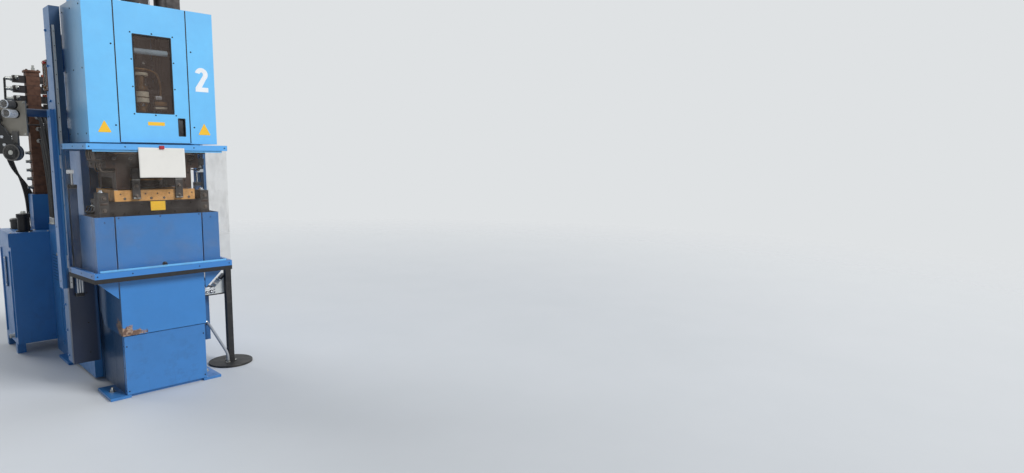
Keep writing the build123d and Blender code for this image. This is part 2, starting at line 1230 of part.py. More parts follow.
def make_desk():
    """The two-hand console on the back of the post: a flat deck with a sloping hood at its end."""
    front = console_y + console_post / 2
    right = console_x + console_post / 2
    outline = [
        (desk_left, desk_bottom),
        (right, desk_bottom),
        (right, desk_top),
        (desk_hood_left, desk_top),
        (desk_hood_foot, desk_deck),
        (desk_left, desk_deck),
    ]
    return front_view(outline, front, desk_back)


def make_conduit():
    """The stiff conduit from the front of the right column down to the console's foot."""
    points = [
        (conduit_x, column_front, conduit_high),
        (conduit_x, conduit_swing, conduit_high),
        (*conduit_end, conduit_turn),
        (*conduit_end, console_foot_height),
    ]
    return hose(points, conduit_bends, conduit_radius)


def make_note():
    return block(
        note_x - note_width / 2,
        note_x + note_width / 2,
        -guard_front - note_thickness,
        -guard_front,
        note_top - note_height,
        note_top,
    )


def make_magnet():
    face = -guard_front - note_thickness
    disc = Cylinder(magnet_radius, magnet_depth, rotation=(90, 0, 0))
    return Pos(note_x, face - magnet_depth / 2, note_top) * disc


pieces = {
    "base_body": make_base(),
    "base_front_panel": make_base_panel(),
    "sole_plates": make_feet(),
    "frame_cheeks": Compound([make_cheek(-1), make_cheek(1)]),
    "frame_rear_plate": make_rear_panel(),
    "upper_crosshead": make_upper_head(),
    "guard_columns": Compound([make_column(-1), make_column(1)]),
    "rail_covers": make_rail_covers(),
    "guard_rails": make_rails(),
    "lift_cylinders": make_lift_cylinders(),
    "lift_rods": make_lift_rods(),
    "guard_carriages": make_carriages(),
    "guard_frame": make_guard_frame(),
    "guard_front_pane": make_guard_front_pane(),
    "guard_side_panes": Compound([make_guard_side_pane(-1), make_guard_side_pane(1)]),
    "guard_rubber_strip": make_guard_rubber(),
    "ram": make_ram(),
    "moving_table": make_table(),
    "moving_cover": make_cover(),
    "cover_wings": Compound([make_wing(-1), make_wing(1)]),
    "lower_mould": make_lower_mould(),
    "latch_blocks": make_side_blocks(),
    "transfer_plate": make_transfer_plate(),
    "upper_mould": make_upper_mould(),
    "mould_hooks": make_hooks(),
    "upper_platen": make_upper_platen(),
    "insulation_board": make_insulation(),
    "housing_left": make_housing_side(-1, door_left - door_gap),
    "housing_right": make_housing_side(1, door_right + door_gap),
    "housing_lid": make_housing_top(),
    "housing_floor": make_housing_floor(),
    "housing_door": make_door(),
    "door_window": make_window(),
    "injection_barrel": make_barrel(),
    "injection_cylinder": make_injector(),
    "guide_rods": make_guide_rods(),
    "rod_block": make_rod_block(),
    "top_yoke": make_yoke(),
    "feed_column": make_feeder(),
    "hose_post": make_top_post(),
    "pump_box": make_pump_box(),
    "oil_tank": make_tank(),
    "valve_stack": make_stack(),
    "valve_blocks": make_valves(),
    "pump_motor": make_motor(),
    "console_stand": make_console_stand(),
    "console_desk": make_desk(),
    "console_conduit": make_conduit(),
    "hydraulic_hoses": make_hoses(),
    "strip_feeder": make_strip_feeder(),
    "feed_rollers": make_feed_rollers(),
    "level_gauge": make_gauge(),
    "note_sheet": make_note(),
    "note_magnet": make_magnet(),
}

os.makedirs("parts", exist_ok=True)
for name, piece in pieces.items():
    export_step(piece, f"parts/{name}.step")
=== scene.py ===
import json
import math
import random
from itertools import product

import bmesh
import bpy
from mathutils import Matrix, Vector


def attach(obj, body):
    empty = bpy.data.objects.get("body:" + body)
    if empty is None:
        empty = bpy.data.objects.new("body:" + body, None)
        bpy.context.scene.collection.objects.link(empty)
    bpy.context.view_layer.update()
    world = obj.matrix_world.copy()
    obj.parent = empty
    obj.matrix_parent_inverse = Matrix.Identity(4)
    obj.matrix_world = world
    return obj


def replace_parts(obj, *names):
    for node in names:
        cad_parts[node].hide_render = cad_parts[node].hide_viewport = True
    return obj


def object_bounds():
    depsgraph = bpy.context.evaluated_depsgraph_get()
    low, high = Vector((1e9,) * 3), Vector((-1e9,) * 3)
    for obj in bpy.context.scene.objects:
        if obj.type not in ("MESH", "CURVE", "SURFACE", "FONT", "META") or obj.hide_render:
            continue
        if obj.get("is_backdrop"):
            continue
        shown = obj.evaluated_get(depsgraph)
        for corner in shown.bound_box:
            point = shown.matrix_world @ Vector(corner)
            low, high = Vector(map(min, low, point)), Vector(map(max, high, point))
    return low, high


# Lengths in this script are millimetres in the part's own frame, and MM turns them into metres.
MM = 0.001

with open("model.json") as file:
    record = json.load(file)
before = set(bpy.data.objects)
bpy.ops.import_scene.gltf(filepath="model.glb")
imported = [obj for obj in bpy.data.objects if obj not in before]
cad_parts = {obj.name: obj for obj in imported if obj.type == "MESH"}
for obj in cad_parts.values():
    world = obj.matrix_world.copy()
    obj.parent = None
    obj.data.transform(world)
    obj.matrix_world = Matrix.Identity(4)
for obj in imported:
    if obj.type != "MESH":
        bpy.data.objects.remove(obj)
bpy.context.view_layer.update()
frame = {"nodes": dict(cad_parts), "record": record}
nodes = frame["nodes"]

# Materials by name. A name that is also one of the record's paint slots is that slot's look.
looks = {}
GRIME = "2A2724"
BARE_METAL = "6E6A66"


def colour(text):
    """A linear colour from six hex digits in sRGB."""
    channels = [int(text[i : i + 2], 16) / 255 for i in (0, 2, 4)]
    linear = [c / 12.92 if c <= 0.04045 else ((c + 0.055) / 1.055) ** 2.4 for c in channels]
    return (*linear, 1.0)


def shade(tone, factor):
    """A colour made lighter or darker."""
    return (*[min(1.0, c * factor) for c in colour(tone)[:3]], 1.0)


class Nodes:
    """Short calls that build the node tree of a material or of the world."""

    def __init__(self, owner):
        owner.use_nodes = True
        self.tree = owner.node_tree
        self.tree.nodes.clear()

    def add(self, kind, settings=None, **values):
        node = self.tree.nodes.new("ShaderNode" + kind)
        for key, value in (settings or {}).items():
            setattr(node, key, value)
        for key, value in values.items():
            self.set(node, key.replace("_", " "), value)
        return node

    def set(self, node, key, value):
        """A value or a link for an input, named or given as i and its number."""
        socket = node.inputs[int(key[1:]) if key[1:].isdigit() else key]
        if isinstance(value, bpy.types.NodeSocket):
            self.tree.links.new(value, socket)
        else:
            socket.default_value = value

    def math(self, operation, a, b=0.0, clamp=False):
        return self.add("Math", {"operation": operation, "use_clamp": clamp}, i0=a, i1=b).outputs[0]


class Surface(Nodes):
    """One material, with calls for the values that its looks are made of."""

    def __init__(self, name):
        self.name = name
        self.material = bpy.data.materials.new(name + "_surface")
        super().__init__(self.material)
        self.shader = self.add("BsdfPrincipled")
        self.output = self.add("OutputMaterial", Surface=self.shader.outputs[0])
        self.place = self.add("TexCoord").outputs["Object"]

    def vector(self, operation, a, b=(0.0, 0.0, 0.0)):
        return self.add("VectorMath", {"operation": operation}, i0=a, i1=b).outputs

    def noise(self, size, detail=5.0, rough=0.6, stretch=None):
        """Noise with features of about this size in millimetres, stretched along axes if asked."""
        where = self.place
        if stretch:
            where = self.add("Mapping", Vector=where, Scale=stretch).outputs[0]
        values = {"Scale": 1000 / size, "Detail": detail, "Roughness": rough}
        return self.add("TexNoise", Vector=where, **values).outputs["Fac"]

    def ramp(self, value, low, high, start=0.0, end=1.0):
        limits = {"From_Min": low, "From_Max": high, "To_Min": start, "To_Max": end}
        return self.add("MapRange", {"clamp": True}, Value=value, **limits).outputs["Result"]

    def mix(self, share, first, second):
        return self.add("Mix", {"data_type": "RGBA"}, i0=share, i6=first, i7=second).outputs[2]

    def along(self, axis):
        return self.add("SeparateXYZ", Vector=self.place).outputs[axis]

    def edges(self, radius):
        """One along outer edges within this many millimetres, and zero on flat faces."""
        bevel = self.add("Bevel", {"samples": 4}, Radius=radius * MM).outputs[0]
        true = self.add("NewGeometry").outputs["Normal"]
        return self.ramp(self.vector("DOT_PRODUCT", bevel, true)["Value"], 0.999, 0.9)

    def finish(self, height, strength, distance, **values):
        """The shader's values, a bump from a height map, and a place in the looks."""
        bump = self.add("Bump", Height=height, Strength=strength, Distance=distance * MM)
        for key, value in {"Normal": bump.outputs[0], **values}.items():
            self.set(self.shader, key.replace("_", " "), value)
        looks[self.name] = self.material


def scrape(n, tone_map, place, radius, flat):
    """A worn-through patch with brown primer inside; flat scales each axis."""
    offset = n.vector("SUBTRACT", n.place, [c * MM for c in place])[0]
    far = n.vector("LENGTH", n.vector("MULTIPLY", offset, flat)[0])["Value"]
    wobble = n.math("MULTIPLY", n.math("SUBTRACT", n.noise(38, 8, 0.72), 0.5), radius * 3.4 * MM)
    edge = n.math("ADD", far, wobble)
    patch = n.ramp(edge, radius * MM, radius * 0.9 * MM)
    core = n.ramp(edge, radius * 0.5 * MM, radius * 0.4 * MM)
    spotted = n.mix(n.ramp(n.noise(16, 6), 0.42, 0.58), colour("5B4032"), colour("A38B78"))
    return n.mix(core, n.mix(patch, tone_map, spotted), colour("6A5245"))


def paint(name, tone, dirt=0.35, wear=0.5, scrapes=(), painted_shades=()):
    """Sprayed enamel: uneven tone, hand marks, oil runs and worn edges, and painted shade where asked.

    A painted shade is (axis, from, to, tone, share), and each limit after that is (axis, from, to).
    """
    n = Surface(name)
    tone_map = n.mix(n.ramp(n.noise(420, 4), 0.3, 0.7), shade(tone, 0.92), shade(tone, 1.05))
    tone_map = n.mix(n.ramp(n.noise(70, 6), 0.35, 0.75, 0.0, 0.35), tone_map, shade(tone, 0.86))
    runs = n.ramp(n.noise(60, 6, 0.65, (1.0, 1.0, 0.07)), 0.56, 0.78)
    low = n.ramp(n.along("Z"), 0.75, 0.0, 0.25, 1.0)
    smudge = n.ramp(n.noise(120, 8, 0.7), 0.5, 0.8)
    soil = n.math("MULTIPLY", n.math("MAXIMUM", runs, smudge), low)
    tone_map = n.mix(n.math("MULTIPLY", soil, dirt), tone_map, colour(GRIME))
    chips = n.math("MULTIPLY", n.edges(2.2), n.ramp(n.noise(24, 7, 0.75), 0.52, 0.6))
    tone_map = n.mix(n.math("MULTIPLY", chips, wear), tone_map, colour(BARE_METAL))
    # Painted shade: each entry blends a darker tone in along an axis, where a face lies in shadow.
    for axis, start, end, shade_tone, share, *limits in painted_shades:
        shade_mask = n.ramp(n.along(axis), start * MM, end * MM, 0.0, share)
        for other, first, last in limits:
            shade_mask = n.math("MULTIPLY", shade_mask, n.ramp(n.along(other), first * MM, last * MM))
        tone_map = n.mix(shade_mask, tone_map, colour(shade_tone))
    for place, radius, flat in scrapes:
        tone_map = scrape(n, tone_map, place, radius, flat)
    sheen = n.ramp(n.math("ADD", smudge, runs), 0.0, 1.6, 0.33, 0.63)
    n.finish(n.noise(5, 3), 0.12, 0.25, Base_Color=tone_map, Roughness=sheen)


def metal(name, tone, rough, grain=None, dirt=0.2, grime="2B2119", full=1.0, spot=60, pits=0.06):
    """Bare metal with grain along one axis if asked, oily film and small pits."""
    n = Surface(name)
    film = n.ramp(n.noise(spot, 6), 0.42, 0.72)
    lines = n.noise(3.2, 3, 0.6, grain) if grain else n.noise(9, 5)
    tone_map = n.mix(lines, shade(tone, 0.84), shade(tone, 1.12))
    tone_map = n.mix(n.math("MULTIPLY", film, dirt), tone_map, colour(grime))
    polish = n.ramp(lines, 0.3, 0.7, rough - 0.05, rough + 0.07)
    sheen = n.math("ADD", polish, n.math("MULTIPLY", film, 0.18))
    n.finish(lines, pits, 0.3, Base_Color=tone_map, Metallic=full, Roughness=sheen)


def plain(name, tone, rough, spread=0.1, size=30, dirt=0.15, grime=GRIME, bump=0.1, bump_size=4.0):
    """Plastic, rubber, board or paper: fine texture, uneven tone and handling dirt."""
    n = Surface(name)
    tone_map = n.mix(n.noise(size, 6), shade(tone, 1 - spread), shade(tone, 1 + spread))
    tone_map = n.mix(n.ramp(n.noise(size * 3, 7, 0.7), 0.5, 0.75, 0.0, dirt), tone_map, colour(grime))
    sheen = n.ramp(n.noise(size, 4), 0.3, 0.7, rough - 0.06, rough + 0.08)
    n.finish(n.noise(bump_size, 4), bump, 0.3, Base_Color=tone_map, Roughness=sheen)


def pane(name, tone, clear, haze, scratch_stretch):
    """Scratched clear plastic: alpha rises where it is rubbed, dusty or scratched."""
    n = Surface(name)
    rub = n.ramp(n.noise(160, 6, 0.6), 0.48, 0.8, 0.0, haze)
    lines = n.ramp(n.noise(5, 2, 0.5, scratch_stretch), 0.66, 0.72, 0.0, haze)
    dust = n.ramp(n.noise(6, 8, 0.8), 0.6, 0.8, 0.0, haze * 0.6)
    alpha = n.math("ADD", n.math("ADD", clear, rub), n.math("ADD", lines, dust), clamp=True)
    tone_map = n.mix(n.noise(90, 5), shade(tone, 0.9), shade(tone, 1.1))
    sheen = n.ramp(rub, 0.0, haze, 0.06, 0.3)
    n.finish(n.noise(300, 2), 0.05, 1.0, Base_Color=tone_map, Alpha=alpha, Roughness=sheen)


paint("blue_upper", "74C8FF", 0.16, 0.35)
# The housing's left face: painted shade and painted grey reflection, stronger towards the rear.
paint("blue_side_painted_shade", "74C8FF", 0.16, 0.35, painted_shades=[("Y", -290, 60, "6C7084", 0.7, ("X", -405, -406.8))])
paint("blue_lower", "3979B8", 0.42, 0.55)
# The base's left face is painted near black as shade.
paint("blue_base", "3979B8", 0.42, 0.55, painted_shades=[("X", -269, -270.8, "0E131C", 0.72)])
# A dark blue that stands for machine blue in shadow: painted shade.
paint("blue_shade", "27476E", 0.5, 0.4)
# Painted shade on the guard: darker below and on the rear uprights.
guard_painted_shade = [("Z", 1300, 950, "2F74BC", 0.85), ("Y", 70, 100, "1F3E66", 0.8)]
paint("blue_guard", "62B0F0", 0.3, 0.5, painted_shades=guard_painted_shade)
# Painted shade on the columns: darker low down, near black at the top of the outer front edge, and near
# black on the lower left front.
column_painted_shade = [
    ("Z", 1100, 500, "213F66", 0.55),
    ("Y", 178, 171, "121824", 0.75, ("X", -400, -412), ("Z", 1700, 1800)),
    ("X", -300, -330, "091430", 0.92, ("Z", 900, 840), ("Y", 230, 200)),
]
paint("blue_column", "3C80BE", 0.5, 0.5, painted_shades=column_painted_shade)
cover_scrapes = [
    ((-262, -279, 468), 50, (0.8, 1.0, 1.0)),
    ((-196, -279, 462), 34, (0.6, 1.0, 1.3)),
    ((-280, -215, 496), 62, (1.0, 0.9, 1.1)),
]
# Painted shade on the cover's left face low down, under the guard; the scrapes above are wear.
cover_painted_shade = [("X", -277, -279.8, "0E131C", 0.6, ("Z", 860, 760))]
paint("blue_cover", "387FC2", 0.14, 0.5, cover_scrapes, cover_painted_shade)

pane("clear_pane", "8A847C", 0.04, 0.12, (1.0, 1.0, 0.05))
pane("window_tint", "5E5048", 0.3, 0.12, (0.06, 1.0, 1.0))
pane("glass", "C8D4CC", 0.3, 0.12, (1.0, 1.0, 0.1))

metal("ground_chrome", "C9CCCF", 0.12, (1.0, 1.0, 30.0), 0.12, pits=0.02)
metal("bright_steel", "A9ABAC", 0.3, (1.0, 1.0, 0.05), 0.25)
metal("zinc", "B4B5B0", 0.28)
metal("alloy", "BFC1C2", 0.34, (1.0, 1.0, 0.04), 0.15)
metal("mould_steel", "3E2E26", 0.52, (0.06, 1.0, 1.0), 0.65, "2A1B14", 0.6)
metal("dark_mould", "2A2321", 0.5, (0.06, 1.0, 1.0), 0.6, "1B120E", 0.6)
metal("plate_steel", "D9A05A", 0.5, (0.05, 1.0, 1.0), 0.4, "4A3020", 0.2)
metal("dark_steel", "4A4644", 0.46, None, 0.55, "1E1814", 0.8)
metal("oily_steel", "6A6058", 0.42, None, 0.5, "1E1712", 0.85)
metal("black_oxide", "2B2B2D", 0.4, None, 0.3, "151311", 0.85)
metal("bronze", "8C6A42", 0.42, None, 0.5, "33241A", 0.85)
metal("rust_brown", "6B4A38", 0.62, None, 0.6, "33221A", 0.35, 40, 0.2)

plain("black_rubber", "1D1D1E", 0.75, 0.2, 25, 0.1, "5A554E")
plain("black_plastic", "1B1C1E", 0.42, 0.15, 40, 0.12, "6A645C", 0.15, 2.5)
plain("hose_black", "1F1F20", 0.55, 0.25, 14, 0.35, "6B6258", 0.25, 3.0)
plain("insulation", "B48A5C", 0.8, 0.18, 18, 0.45, "4A3426", 0.2)
plain("motor_grey", "4E5357", 0.5, 0.1, 60, 0.35, "201E1C")
plain("stand_grey", "0F1013", 0.56, 0.12, 70, 0.3, "6B645A")
plain("desk_grey", "C9CCC8", 0.42, 0.05, 90, 0.3, "5F584F")
plain("conduit_grey", "8E9296", 0.5, 0.08, 30, 0.3, "3A3632")
plain("feeder_grey", "A9A294", 0.45, 0.08, 50, 0.35, "4A433A")
plain("roller_grey", "6B6864", 0.55, 0.12, 20, 0.35, GRIME)
plain("note_paper", "E9E6DE", 0.85, 0.03, 60, 0.08, "8A8276", 0.05, 6.0)
plain("magnet_red", "A8202E", 0.4, 0.1, 12, 0.1)
plain("label_yellow", "FFC52A", 0.5, 0.04, 30, 0.08, "6B5A30", 0.03)
plain("mark_white", "F4F6F7", 0.45, 0.02, 40, 0.08, "8A8A86", 0.03)
plain("signal_red", "C8281E", 0.35, 0.08, 10, 0.12)
plain("coil_orange", "B8502E", 0.45, 0.12, 14, 0.3)
plain("pale_tube", "C4DDEA", 0.35, 0.05, 60, 0.12, "6A5A4C")
# Near-white cream for the heater bands: partly their own colour, partly painted highlight for bright glints.
plain("cream", "F6E8CC", 0.6, 0.12, 20, 0.3, "5A4230")

looks["blue_dark"] = looks["blue_lower"]
# Looks that differ from a part's slot. Most carry painted shade: the guard, columns, cover, housing's left
# face and base's left face are darkened where they lie in shadow, and the lift cylinders take the dark blue
# painted-shade look.
OWN_LOOKS = {
    "moving_cover": "blue_cover",
    "cover_wings": "blue_lower",
    "guard_frame": "blue_guard",
    "guard_columns": "blue_column",
    "lift_cylinders": "blue_shade",
    "housing_left": "blue_side_painted_shade",
    "base_body": "blue_base",
    "lower_mould": "dark_mould",
}
for entry in frame["record"]["subparts"]:
    slots = nodes[entry["node"]].data.materials
    slots.clear()
    slots.append(looks[OWN_LOOKS.get(entry["node"], entry["material_slot"])])


# Mesh pieces

LETTERS = {"x": (1, 0, 0), "y": (0, 1, 0), "z": (0, 0, 1)}
OUTWARD = {-1: "-x", 1: "x"}

# Which of an outline's two values and the level gives x, y and z
PLANES = {"xy": (0, 1, 2), "xz": (0, 2, 1), "yz": (2, 0, 1)}


def smooth_by_angle(mesh):
    for face in mesh.faces:
        face.smooth = True
    for edge in mesh.edges:
        if len(edge.link_faces) == 2 and edge.calc_face_angle(0.0) > math.radians(35):
            edge.smooth = False


def axis_frame(axis):
    """An axis, given as a letter with or without a minus sign or as a vector, and two across it."""
    if isinstance(axis, str):
        axis = Vector(LETTERS[axis[-1]]) * (-1 if axis[0] == "-" else 1)
    along = axis.normalized()
    helper = Vector((0, 0, 1)) if abs(along.z) < 0.9 else Vector((1, 0, 0))
    across = along.cross(helper).normalized()
    return along, across, along.cross(across).normalized()


def around(count, start=0.0):
    """Cosine and sine of evenly spaced angles in a full turn."""
    angles = [2 * math.pi * i / count + start for i in range(count)]
    return [(math.cos(angle), math.sin(angle)) for angle in angles]


def circle(count, radius, x=0.0, y=0.0, start=0.0):
    return [(x + radius * c, y + radius * s) for c, s in around(count, start)]


def rounded(points, bend):
    """The points with each corner cut into a short curve."""
    points = [Vector(p) for p in points]
    line = [points[0]]
    for before, corner, after in zip(points, points[1:], points[2:]):
        reach = min((corner - before).length, (after - corner).length) * 0.45
        start = corner + (before - corner).normalized() * reach
        end = corner + (after - corner).normalized() * reach
        for i in range(bend * 2 + 1):
            t = i / (bend * 2)
            line.append(start * (1 - t) ** 2 + corner * 2 * t * (1 - t) + end * t**2)
    line.append(points[-1])
    return line


def rounded_outline(corners, radius, steps=4):
    """A closed outline with every corner rounded."""
    made = []
    count = len(corners)
    for i, corner in enumerate(corners):
        here = Vector(corner)
        before = here + (Vector(corners[i - 1]) - here).normalized() * radius
        after = here + (Vector(corners[(i + 1) % count]) - here).normalized() * radius
        for k in range(steps + 1):
            t = k / steps
            made.append(tuple(before * (1 - t) ** 2 + here * 2 * t * (1 - t) + after * t**2))
    return made


def panel(left, right, low, high, radius):
    """A rectangle's outline with rounded corners."""
    return rounded_outline([(left, low), (right, low), (right, high), (left, high)], radius)


class Piece:
    """Gathers closed shapes in millimetres and turns them into one named object on a body."""

    def __init__(self, name, body, slot, materials):
        self.name = name
        self.body = body
        self.slot = slot
        self.materials = materials.split()
        self.mesh = bmesh.new()

    def box(self, low, high, bevel=1.0, material=0):
        made = bmesh.ops.create_cube(self.mesh, size=1.0)["verts"]
        size = [max(abs(b - a), 0.01) for a, b in zip(low, high)]
        middle = [(a + b) / 2 for a, b in zip(low, high)]
        for vertex in made:
            vertex.co = Vector([c * s + m for c, s, m in zip(vertex.co, size, middle)])
        self.soften(made, min(bevel, min(size) * 0.4), material, 2)

    def soften(self, made, bevel, material, steps):
        """Gives the faces at these points a material and rounds their edges."""
        faces = {f for v in made for f in v.link_faces}
        for face in faces:
            face.material_index = material
        if bevel > 0:
            edges = [e for e in {e for f in faces for e in f.edges} if e.calc_face_angle(0.0) > 0.5]
            how = {"offset": bevel, "segments": steps, "affect": "EDGES", "profile": 0.6}
            bmesh.ops.bevel(self.mesh, geom=edges, **how)

    def skin(self, rings, material=0):
        """Faces between rings of points, where a ring may be one point, and over both ends."""
        sides = max(len(ring) for ring in rings)
        for first, second in zip(rings, rings[1:]):
            for i in range(sides):
                j = (i + 1) % sides
                corners = [first[i % len(first)], first[j % len(first)]]
                corners += [second[j % len(second)], second[i % len(second)]]
                corners = list(dict.fromkeys(corners))
                if len(corners) > 2:
                    self.mesh.faces.new(corners).material_index = material
        for ring in (rings[0], rings[-1]):
            if len(ring) > 2:
                self.mesh.faces.new(ring).material_index = material

    def turn(self, centre, axis, profile, sides=24, material=0, spin=0.0):
        """A turned shape: profile is a list of (radius, distance along the axis)."""
        along, across, third = axis_frame(axis)
        rings = []
        for radius, distance in profile:
            middle = Vector(centre) + along * distance
            spokes = [across * c + third * s for c, s in around(sides, spin)] if radius > 0 else [along * 0]
            rings.append([self.mesh.verts.new(middle + spoke * radius) for spoke in spokes])
        self.skin(rings, material)

    def loops(self, plane, *levels):
        """Rings of points, each from an outline in the plane xy, xz or yz and a level across it."""
        order = PLANES[plane]
        return [
            [self.mesh.verts.new([(*point, level)[i] for i in order]) for point in outline]
            for outline, level in levels
        ]

    def close(self, loops, bevel, material, steps):
        made = [v for loop in loops for v in loop]
        bmesh.ops.recalc_face_normals(self.mesh, faces=list({f for v in made for f in v.link_faces}))
        self.soften(made, bevel, material, steps)

    def plate(self, outline, plane, low, high, bevel=0.6, material=0, steps=1):
        """A flat plate between two levels."""
        loops = self.loops(plane, (outline, low), (outline, high))
        self.skin(loops)
        self.close(loops, bevel, material, steps)

    def rim(self, outer, inner, plane, low, high, material=0, bevel=0.4):
        """A flat frame between two outlines that have the same number of points."""
        loops = self.loops(plane, (outer, low), (inner, low), (inner, high), (outer, high))
        for first, second in zip(loops, loops[1:] + loops[:1]):
            for i in range(len(outer)):
                self.mesh.faces.new([first[i - 1], first[i], second[i], second[i - 1]])
        self.close(loops, bevel, material, 1)

    def hex_bolt(self, centre, axis, size, material=0):
        """A hexagon head on a washer, standing on a face."""
        washer = [(size * 0.95, 0), (size * 0.95, size * 0.14), (0, size * 0.14)]
        self.turn(centre, axis, washer, 16, material)
        narrow, wide = size * 0.58, size * 0.58 * 1.15
        head = [(narrow, 0), (wide, 0), (wide, size * 0.55), (narrow, size * 0.68), (0, size * 0.68)]
        self.turn(centre, axis, head, 6, material, random.uniform(0, 1))

    def round_head(self, centre, axis, size, material, *shares):
        profile = [(size * radius, size * distance) for radius, distance in shares]
        self.turn(centre, axis, profile, 12, material)

    def socket_bolt(self, centre, axis, size, material=0):
        """A round head with a hexagon socket."""
        outer = ((0.85, 0), (0.85, 0.7), (0.78, 0.8), (0.42, 0.8))
        self.round_head(centre, axis, size, material, *outer, (0.42, 0.35), (0, 0.35))

    def dome(self, centre, axis, size, material=0):
        """A low round screw head with a dimple."""
        outer = ((1, 0), (0.96, 0.22), (0.7, 0.4), (0.3, 0.46))
        self.round_head(centre, axis, size, material, *outer, (0.25, 0.25), (0, 0.25))

    def gland(self, centre, axis, wide, collar, narrow, step, length, material=1):
        """A hexagonal collar with a thinner neck, for a lead or a pipe."""
        self.turn(centre, axis, [(wide, 0), (wide, collar), (narrow, step), (narrow, length)], 6, material)

    def pipe(self, points, radius, material=0, sides=10, bend=3):
        """A round tube through points, with its corners rounded."""
        line = rounded(points, bend)
        across = (line[1] - line[0]).normalized().orthogonal().normalized()
        rings = []
        for i, point in enumerate(line):
            ahead = (line[min(i + 1, len(line) - 1)] - line[max(i - 1, 0)]).normalized()
            across = (across - ahead * across.dot(ahead)).normalized()
            third = ahead.cross(across)
            spokes = [across * c + third * s for c, s in around(sides)]
            rings.append([self.mesh.verts.new(point + spoke * radius) for spoke in spokes])
        self.skin(rings, material)

    def swing(self, x, y, degrees):
        """Turns everything made so far about a vertical line."""
        spin = Matrix.Rotation(math.radians(degrees), 3, "Z")
        bmesh.ops.rotate(self.mesh, cent=(x, y, 0), matrix=spin, verts=self.mesh.verts[:])

    def move(self, x, y):
        """Moves everything made so far across the floor."""
        bmesh.ops.translate(self.mesh, vec=(x, y, 0), verts=self.mesh.verts[:])

    def done(self):
        bmesh.ops.recalc_face_normals(self.mesh, faces=self.mesh.faces[:])
        smooth_by_angle(self.mesh)
        bmesh.ops.scale(self.mesh, vec=(MM, MM, MM), verts=self.mesh.verts[:])
        return finish_mesh(self.mesh, self.name, self.body, self.materials)


def show(name, data):
    """An object in the scene for a mesh, lamp or camera."""
    made = bpy.data.objects.new(name, data)
    bpy.context.scene.collection.objects.link(made)
    return made


def finish_mesh(mesh, name, body, materials):
    data = bpy.data.meshes.new(name)
    mesh.to_mesh(data)
    mesh.free()
    for material in materials:
        data.materials.append(looks[material])
    made = show(name, data)
    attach(made, body)
    return made


def grid(make, xs, ys, zs, *rest):
    """Calls make at every crossing of three rows of places, where a row may be one number."""
    rows = [(row,) if isinstance(row, (int, float)) else row for row in (xs, ys, zs)]
    for place in product(*rows):
        make(place, *rest)


def both_sides(make, x, ys, zs, *rest):
    """Calls make for the left and right outer faces, at x from the middle."""
    for side in (-1, 1):
        grid(make, side * x, ys, zs, OUTWARD[side], *rest)


random.seed(7)

# Upper housing

HOUSING_FACE = -304
HOUSING_TOP = 2700
WINDOW = (-118, 118, 1981, 2494)


def window_outline(grow, radius):
    left, right, low, high = WINDOW
    return panel(left - grow, right + grow, low - grow, high + grow, radius)


trim = Piece("window_gasket", "machine", "black_rubber", "black_rubber")
trim.rim(window_outline(5, 7), window_outline(-3, 5), "xz", HOUSING_FACE - 1.6, HOUSING_FACE + 6)
trim.done()

screws = Piece("housing_screws", "machine", "dark_steel", "black_oxide")
grid(screws.dome, (-133, 133), HOUSING_FACE, (2506, 2330, 2150, 1969), "-y", 5)
for x, z in ((0, 2510), (0, 1965), (-250, 2416), (-248, 1889), (251, 2419), (252, 1892)):
    screws.dome((x, HOUSING_FACE, z), "-y", 5.5)
both_sides(screws.dome, 407, (-250, -40, 160), (1830, 2250, 2650), 6)
screws.done()

# Black rubber seals in the door gaps, with wider black strips on the face that paint the shade inside the
# gaps.
seals_and_gap_shade = Piece("door_seals_and_gap_shade", "machine", "black_rubber", "black_rubber")
for x in (-227.5, 223.5):
    seals_and_gap_shade.box((x - 1.4, HOUSING_FACE + 1.2, 1780), (x + 1.4, HOUSING_FACE + 8, 2696), 0.3)
    seals_and_gap_shade.box((x - 3.6, HOUSING_FACE - 0.7, 1780), (x + 3.6, HOUSING_FACE - 0.05, 2696), 0.2)
seals_and_gap_shade.box((-224, HOUSING_FACE + 1.2, 1774.4), (220, HOUSING_FACE + 8, 1777.4), 0.3)
seals_and_gap_shade.done()

bezel = Piece("door_handle_pocket", "machine", "black_rubber", "black_plastic")
outer = panel(143, 193, 1825, 1952, 5)
inner = panel(148, 188, 1830, 1947, 4)
bezel.rim(outer, inner, "xz", HOUSING_FACE - 2, HOUSING_FACE + 17)
bezel.box((147, HOUSING_FACE + 14.5, 1829), (189, HOUSING_FACE + 17.8, 1948), 0.4)
bezel.box((149, HOUSING_FACE + 2, 1835), (156, HOUSING_FACE + 5, 1942), 1.2)
bezel.turn((170, HOUSING_FACE + 14, 1856), "-y", [(9, 0), (9, 3), (8, 4), (3, 4), (3, 1), (0, 1)], 20)
bezel.done()

labels = Piece("yellow_plates", "machine", None, "label_yellow")
labels.plate(panel(-52, 55, 1895, 1919, 2), "xz", HOUSING_FACE - 0.9, HOUSING_FACE, 0.2)
for left, right, apex in ((-356, -276, 1919), (278, 364, 1923)):
    corners = [(left, 1840), (right, 1840), ((left + right) / 2, apex)]
    labels.plate(rounded_outline(corners, 7), "xz", HOUSING_FACE - 1.0, HOUSING_FACE, 0.25)
labels.done()


def arc(x, y, across, up, start, end, steps):
    angles = [math.radians(start + i * (end - start) / steps) for i in range(steps + 1)]
    return [(x + across * math.cos(angle), y + up * math.sin(angle)) for angle in angles]


